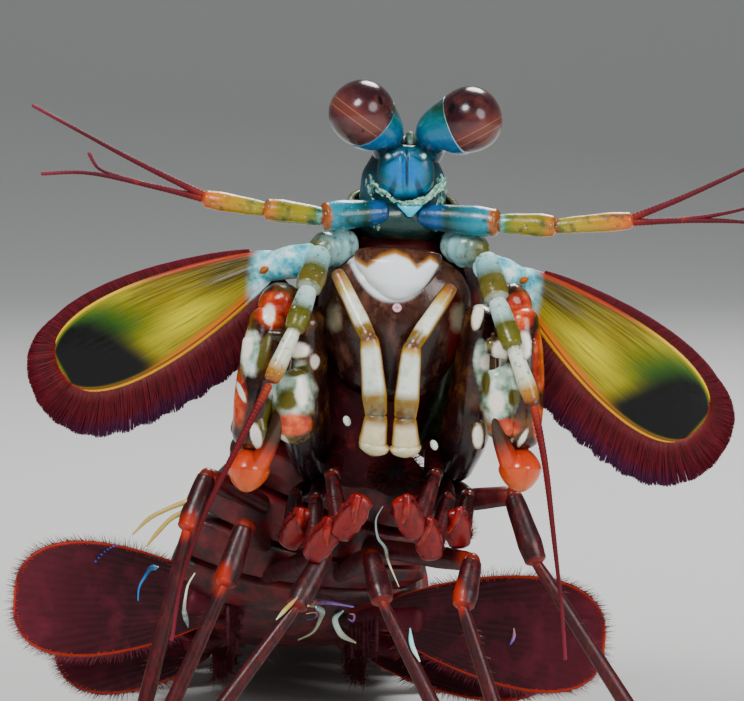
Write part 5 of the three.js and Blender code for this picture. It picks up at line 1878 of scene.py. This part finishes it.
class SHRIMP_OT_uropods(bpy.types.Operator):
    """The two side tail fans: a forked base, two paddles, spines and a bright red fringe"""

    bl_idname = "shrimp.uropods"
    bl_label = "Uropods"

    def execute(self, context):
        # Dense bright red fringe of the tail fan.
        reds = banded([(0.0, "#c81c14"), (0.6, "#e03a24"), (1.0, "#f08060")])
        bristle = material("Tail_Fringe_Bristle", reds, roughness=0.45)
        for side, sign in SIDES.items():
            root, knuckle, outer_end, inner_end, spine_end = TELSON + UROPOD * [sign, 1, 1]
            lie = np.array([-sign, 0, 0.0])
            outer = {"from": knuckle, "to": outer_end, "wide": lie, "half": 3.5, "depth": 0.7}
            inner = {"from": knuckle, "to": inner_end, "wide": lie, "half": 2.5, "depth": 0.65}
            base_end = knuckle + [sign * 0.6, 1.4, -0.4]
            made = [
                tube([root, base_end], [(1.9, 1.6), (2.5, 1.4)], rows=40, sides=36),
                tube([knuckle, spine_end], [(1.0, 0.8), (0.3, 0.3)], rows=30, sides=24),
            ]
            for blade in (outer, inner):
                leaf = paddle(blade, 64, 72, lambda u, v: 0.85 + 0.15 * np.cos(v * 9) ** 2)
                leaf["marks"]["blue"] = near(leaf["marks"]["along"], -0.1, 0.25, 0.2)
                leaf["marks"]["red"] = smooth(leaf["marks"]["along"], 0.35, 0.6)
                made.append(leaf)
            way = np.array([sign, 1.1, 0.0])
            for rim in edge_of(outer, -2.3 + 0.1 * np.arange(9)):
                made.append(tube([rim - way, rim + way * 1.2], [0.3, 0.28, 0.1], rows=12, sides=12, tip=1))
            name = f"uropod_{side}"
            piece(name, [grounded(gather(made))], tail_finish())
            tufts = []
            for blade, low, high, reach in ((outer, -1.3, 1.4, 3.0), (inner, -1.4, 1.2, 2.8)):
                draw = np.random.default_rng(95)
                angle = np.linspace(low, high, 420)
                rim = edge_of(blade, angle)
                along = unit(blade["to"] - blade["from"])
                out = unit(unit(rim - (blade["from"] + blade["to"]) / 2) + along * 0.3)
                roots = rim - out * 0.6 + draw.uniform(-0.25, 0.25, (len(angle), 1)) * UP
                length = reach * (0.72 + 0.28 * np.cos(angle)) * draw.uniform(0.85, 1.0, len(angle))
                hair = grounded(hairs(roots, out, length + 0.5, 0.05, seeds=draw.uniform(0, 1, len(angle))))
                bake_marks(hair, angle)
                tufts.append(hair)
            piece(f"uropod_fringe_{side}", tufts, bristle)
        return {"FINISHED"}


class SHRIMP_OT_stage(bpy.types.Operator):
    """A pale floor, soft studio lamps and the camera"""

    bl_idname = "shrimp.stage"
    bl_label = "Stage"

    def execute(self, context):
        look = context.scene.stage_look
        half = look.floor / 2
        turn = np.linspace(0, math.pi / 2, 40)
        bend = half * 0.4
        depth = np.concatenate([[-half], 0.35 * half + bend * np.sin(turn), [0.35 * half + bend]])
        height = np.concatenate([[0], bend * (1 - np.cos(turn)), [half]])
        points = [(x, y, z) for y, z in zip(depth, height) for x in (-half, half)]
        mesh = bpy.data.meshes.new("floor")
        mesh.from_pydata(points, [], [(i, i + 1, i + 3, i + 2) for i in range(0, len(points) - 2, 2)])
        mesh.shade_smooth()
        floor = bpy.data.objects.new("floor", mesh)
        context.collection.objects.link(floor)
        # Matt pale paper that curves up behind the animal.
        paper = bpy.data.materials.new("Pale_Floor")
        paper.use_nodes = True
        for name, value in (("Base Color", linear("#d2d4d0")), ("Roughness", 1.0)):
            paper.node_tree.nodes["Principled BSDF"].inputs[name].default_value = value
        mesh.materials.append(paper)

        target = Vector(row(TARGET))
        back = Vector((0, -math.cos(look.elevation), math.sin(look.elevation)))
        data = bpy.data.cameras.new("camera")
        data.sensor_width = 36
        data.lens = data.sensor_width * look.distance / look.field
        data.clip_start = 0.01
        camera = bpy.data.objects.new("camera", data)
        camera.location = target + back * look.distance
        camera.rotation_euler = (-back).to_track_quat("-Z", "Y").to_euler()
        context.collection.objects.link(camera)
        context.scene.camera = camera

        lamps = (
            ("key_lamp", (-0.18, -0.42, 0.42), 0.22, 1.0),
            ("fill_lamp", (0.34, -0.36, 0.2), 0.3, 0.5),
            ("rim_lamp", (0.1, 0.35, 0.4), 0.25, 0.9),
        )
        for name, place, size, share in lamps:
            light = bpy.data.lights.new(name, "AREA")
            light.energy = look.lamp * share
            light.shape = "DISK"
            light.size = size
            lamp = bpy.data.objects.new(name, light)
            lamp.location = target + Vector(place)
            lamp.rotation_euler = Vector(place).to_track_quat("Z", "Y").to_euler()
            context.collection.objects.link(lamp)
        world = bpy.data.worlds.new("studio")
        world.use_nodes = True
        for name, value in (("Color", linear("#c4cad0")), ("Strength", 0.28)):
            world.node_tree.nodes["Background"].inputs[name].default_value = value
        context.scene.world = world
        return {"FINISHED"}


OPERATORS = (
    SHRIMP_OT_corneas,
    SHRIMP_OT_eyestalks,
    SHRIMP_OT_head,
    SHRIMP_OT_antennules,
    SHRIMP_OT_antennae,
    SHRIMP_OT_antennal_scales,
    SHRIMP_OT_face,
    SHRIMP_OT_first_maxillipeds,
    SHRIMP_OT_claws,
    SHRIMP_OT_maxillipeds,
    SHRIMP_OT_walking_legs,
    SHRIMP_OT_pleopods,
    SHRIMP_OT_flesh,
    SHRIMP_OT_carapace,
    SHRIMP_OT_body_rings,
    SHRIMP_OT_underside,
    SHRIMP_OT_mouth,
    SHRIMP_OT_telson,
    SHRIMP_OT_uropods,
    SHRIMP_OT_stage,
)


class SHRIMP_PT_panel(bpy.types.Panel):
    """The pieces of the animal and its stage"""

    bl_idname = "SHRIMP_PT_panel"
    bl_label = "Mantis Shrimp"
    bl_space_type = "VIEW_3D"
    bl_region_type = "UI"
    bl_category = "Shrimp"

    def draw(self, context):
        for look in (context.scene.shrimp_look, context.scene.stage_look):
            for name in look.__annotations__:
                self.layout.prop(look, name)
        for operator in OPERATORS:
            self.layout.operator(operator.bl_idname)


CLASSES = (ShrimpLook, StageLook, *OPERATORS, SHRIMP_PT_panel)


def register():
    for cls in CLASSES:
        bpy.utils.register_class(cls)
    bpy.types.Scene.shrimp_look = PointerProperty(type=ShrimpLook)
    bpy.types.Scene.stage_look = PointerProperty(type=StageLook)


def unregister():
    del bpy.types.Scene.shrimp_look
    del bpy.types.Scene.stage_look
    for cls in reversed(CLASSES):
        bpy.utils.unregister_class(cls)


def main():
    register()
    for operator in OPERATORS:
        group, name = operator.bl_idname.split(".")
        getattr(getattr(bpy.ops, group), name)()


if __name__ == "__main__":
    main()
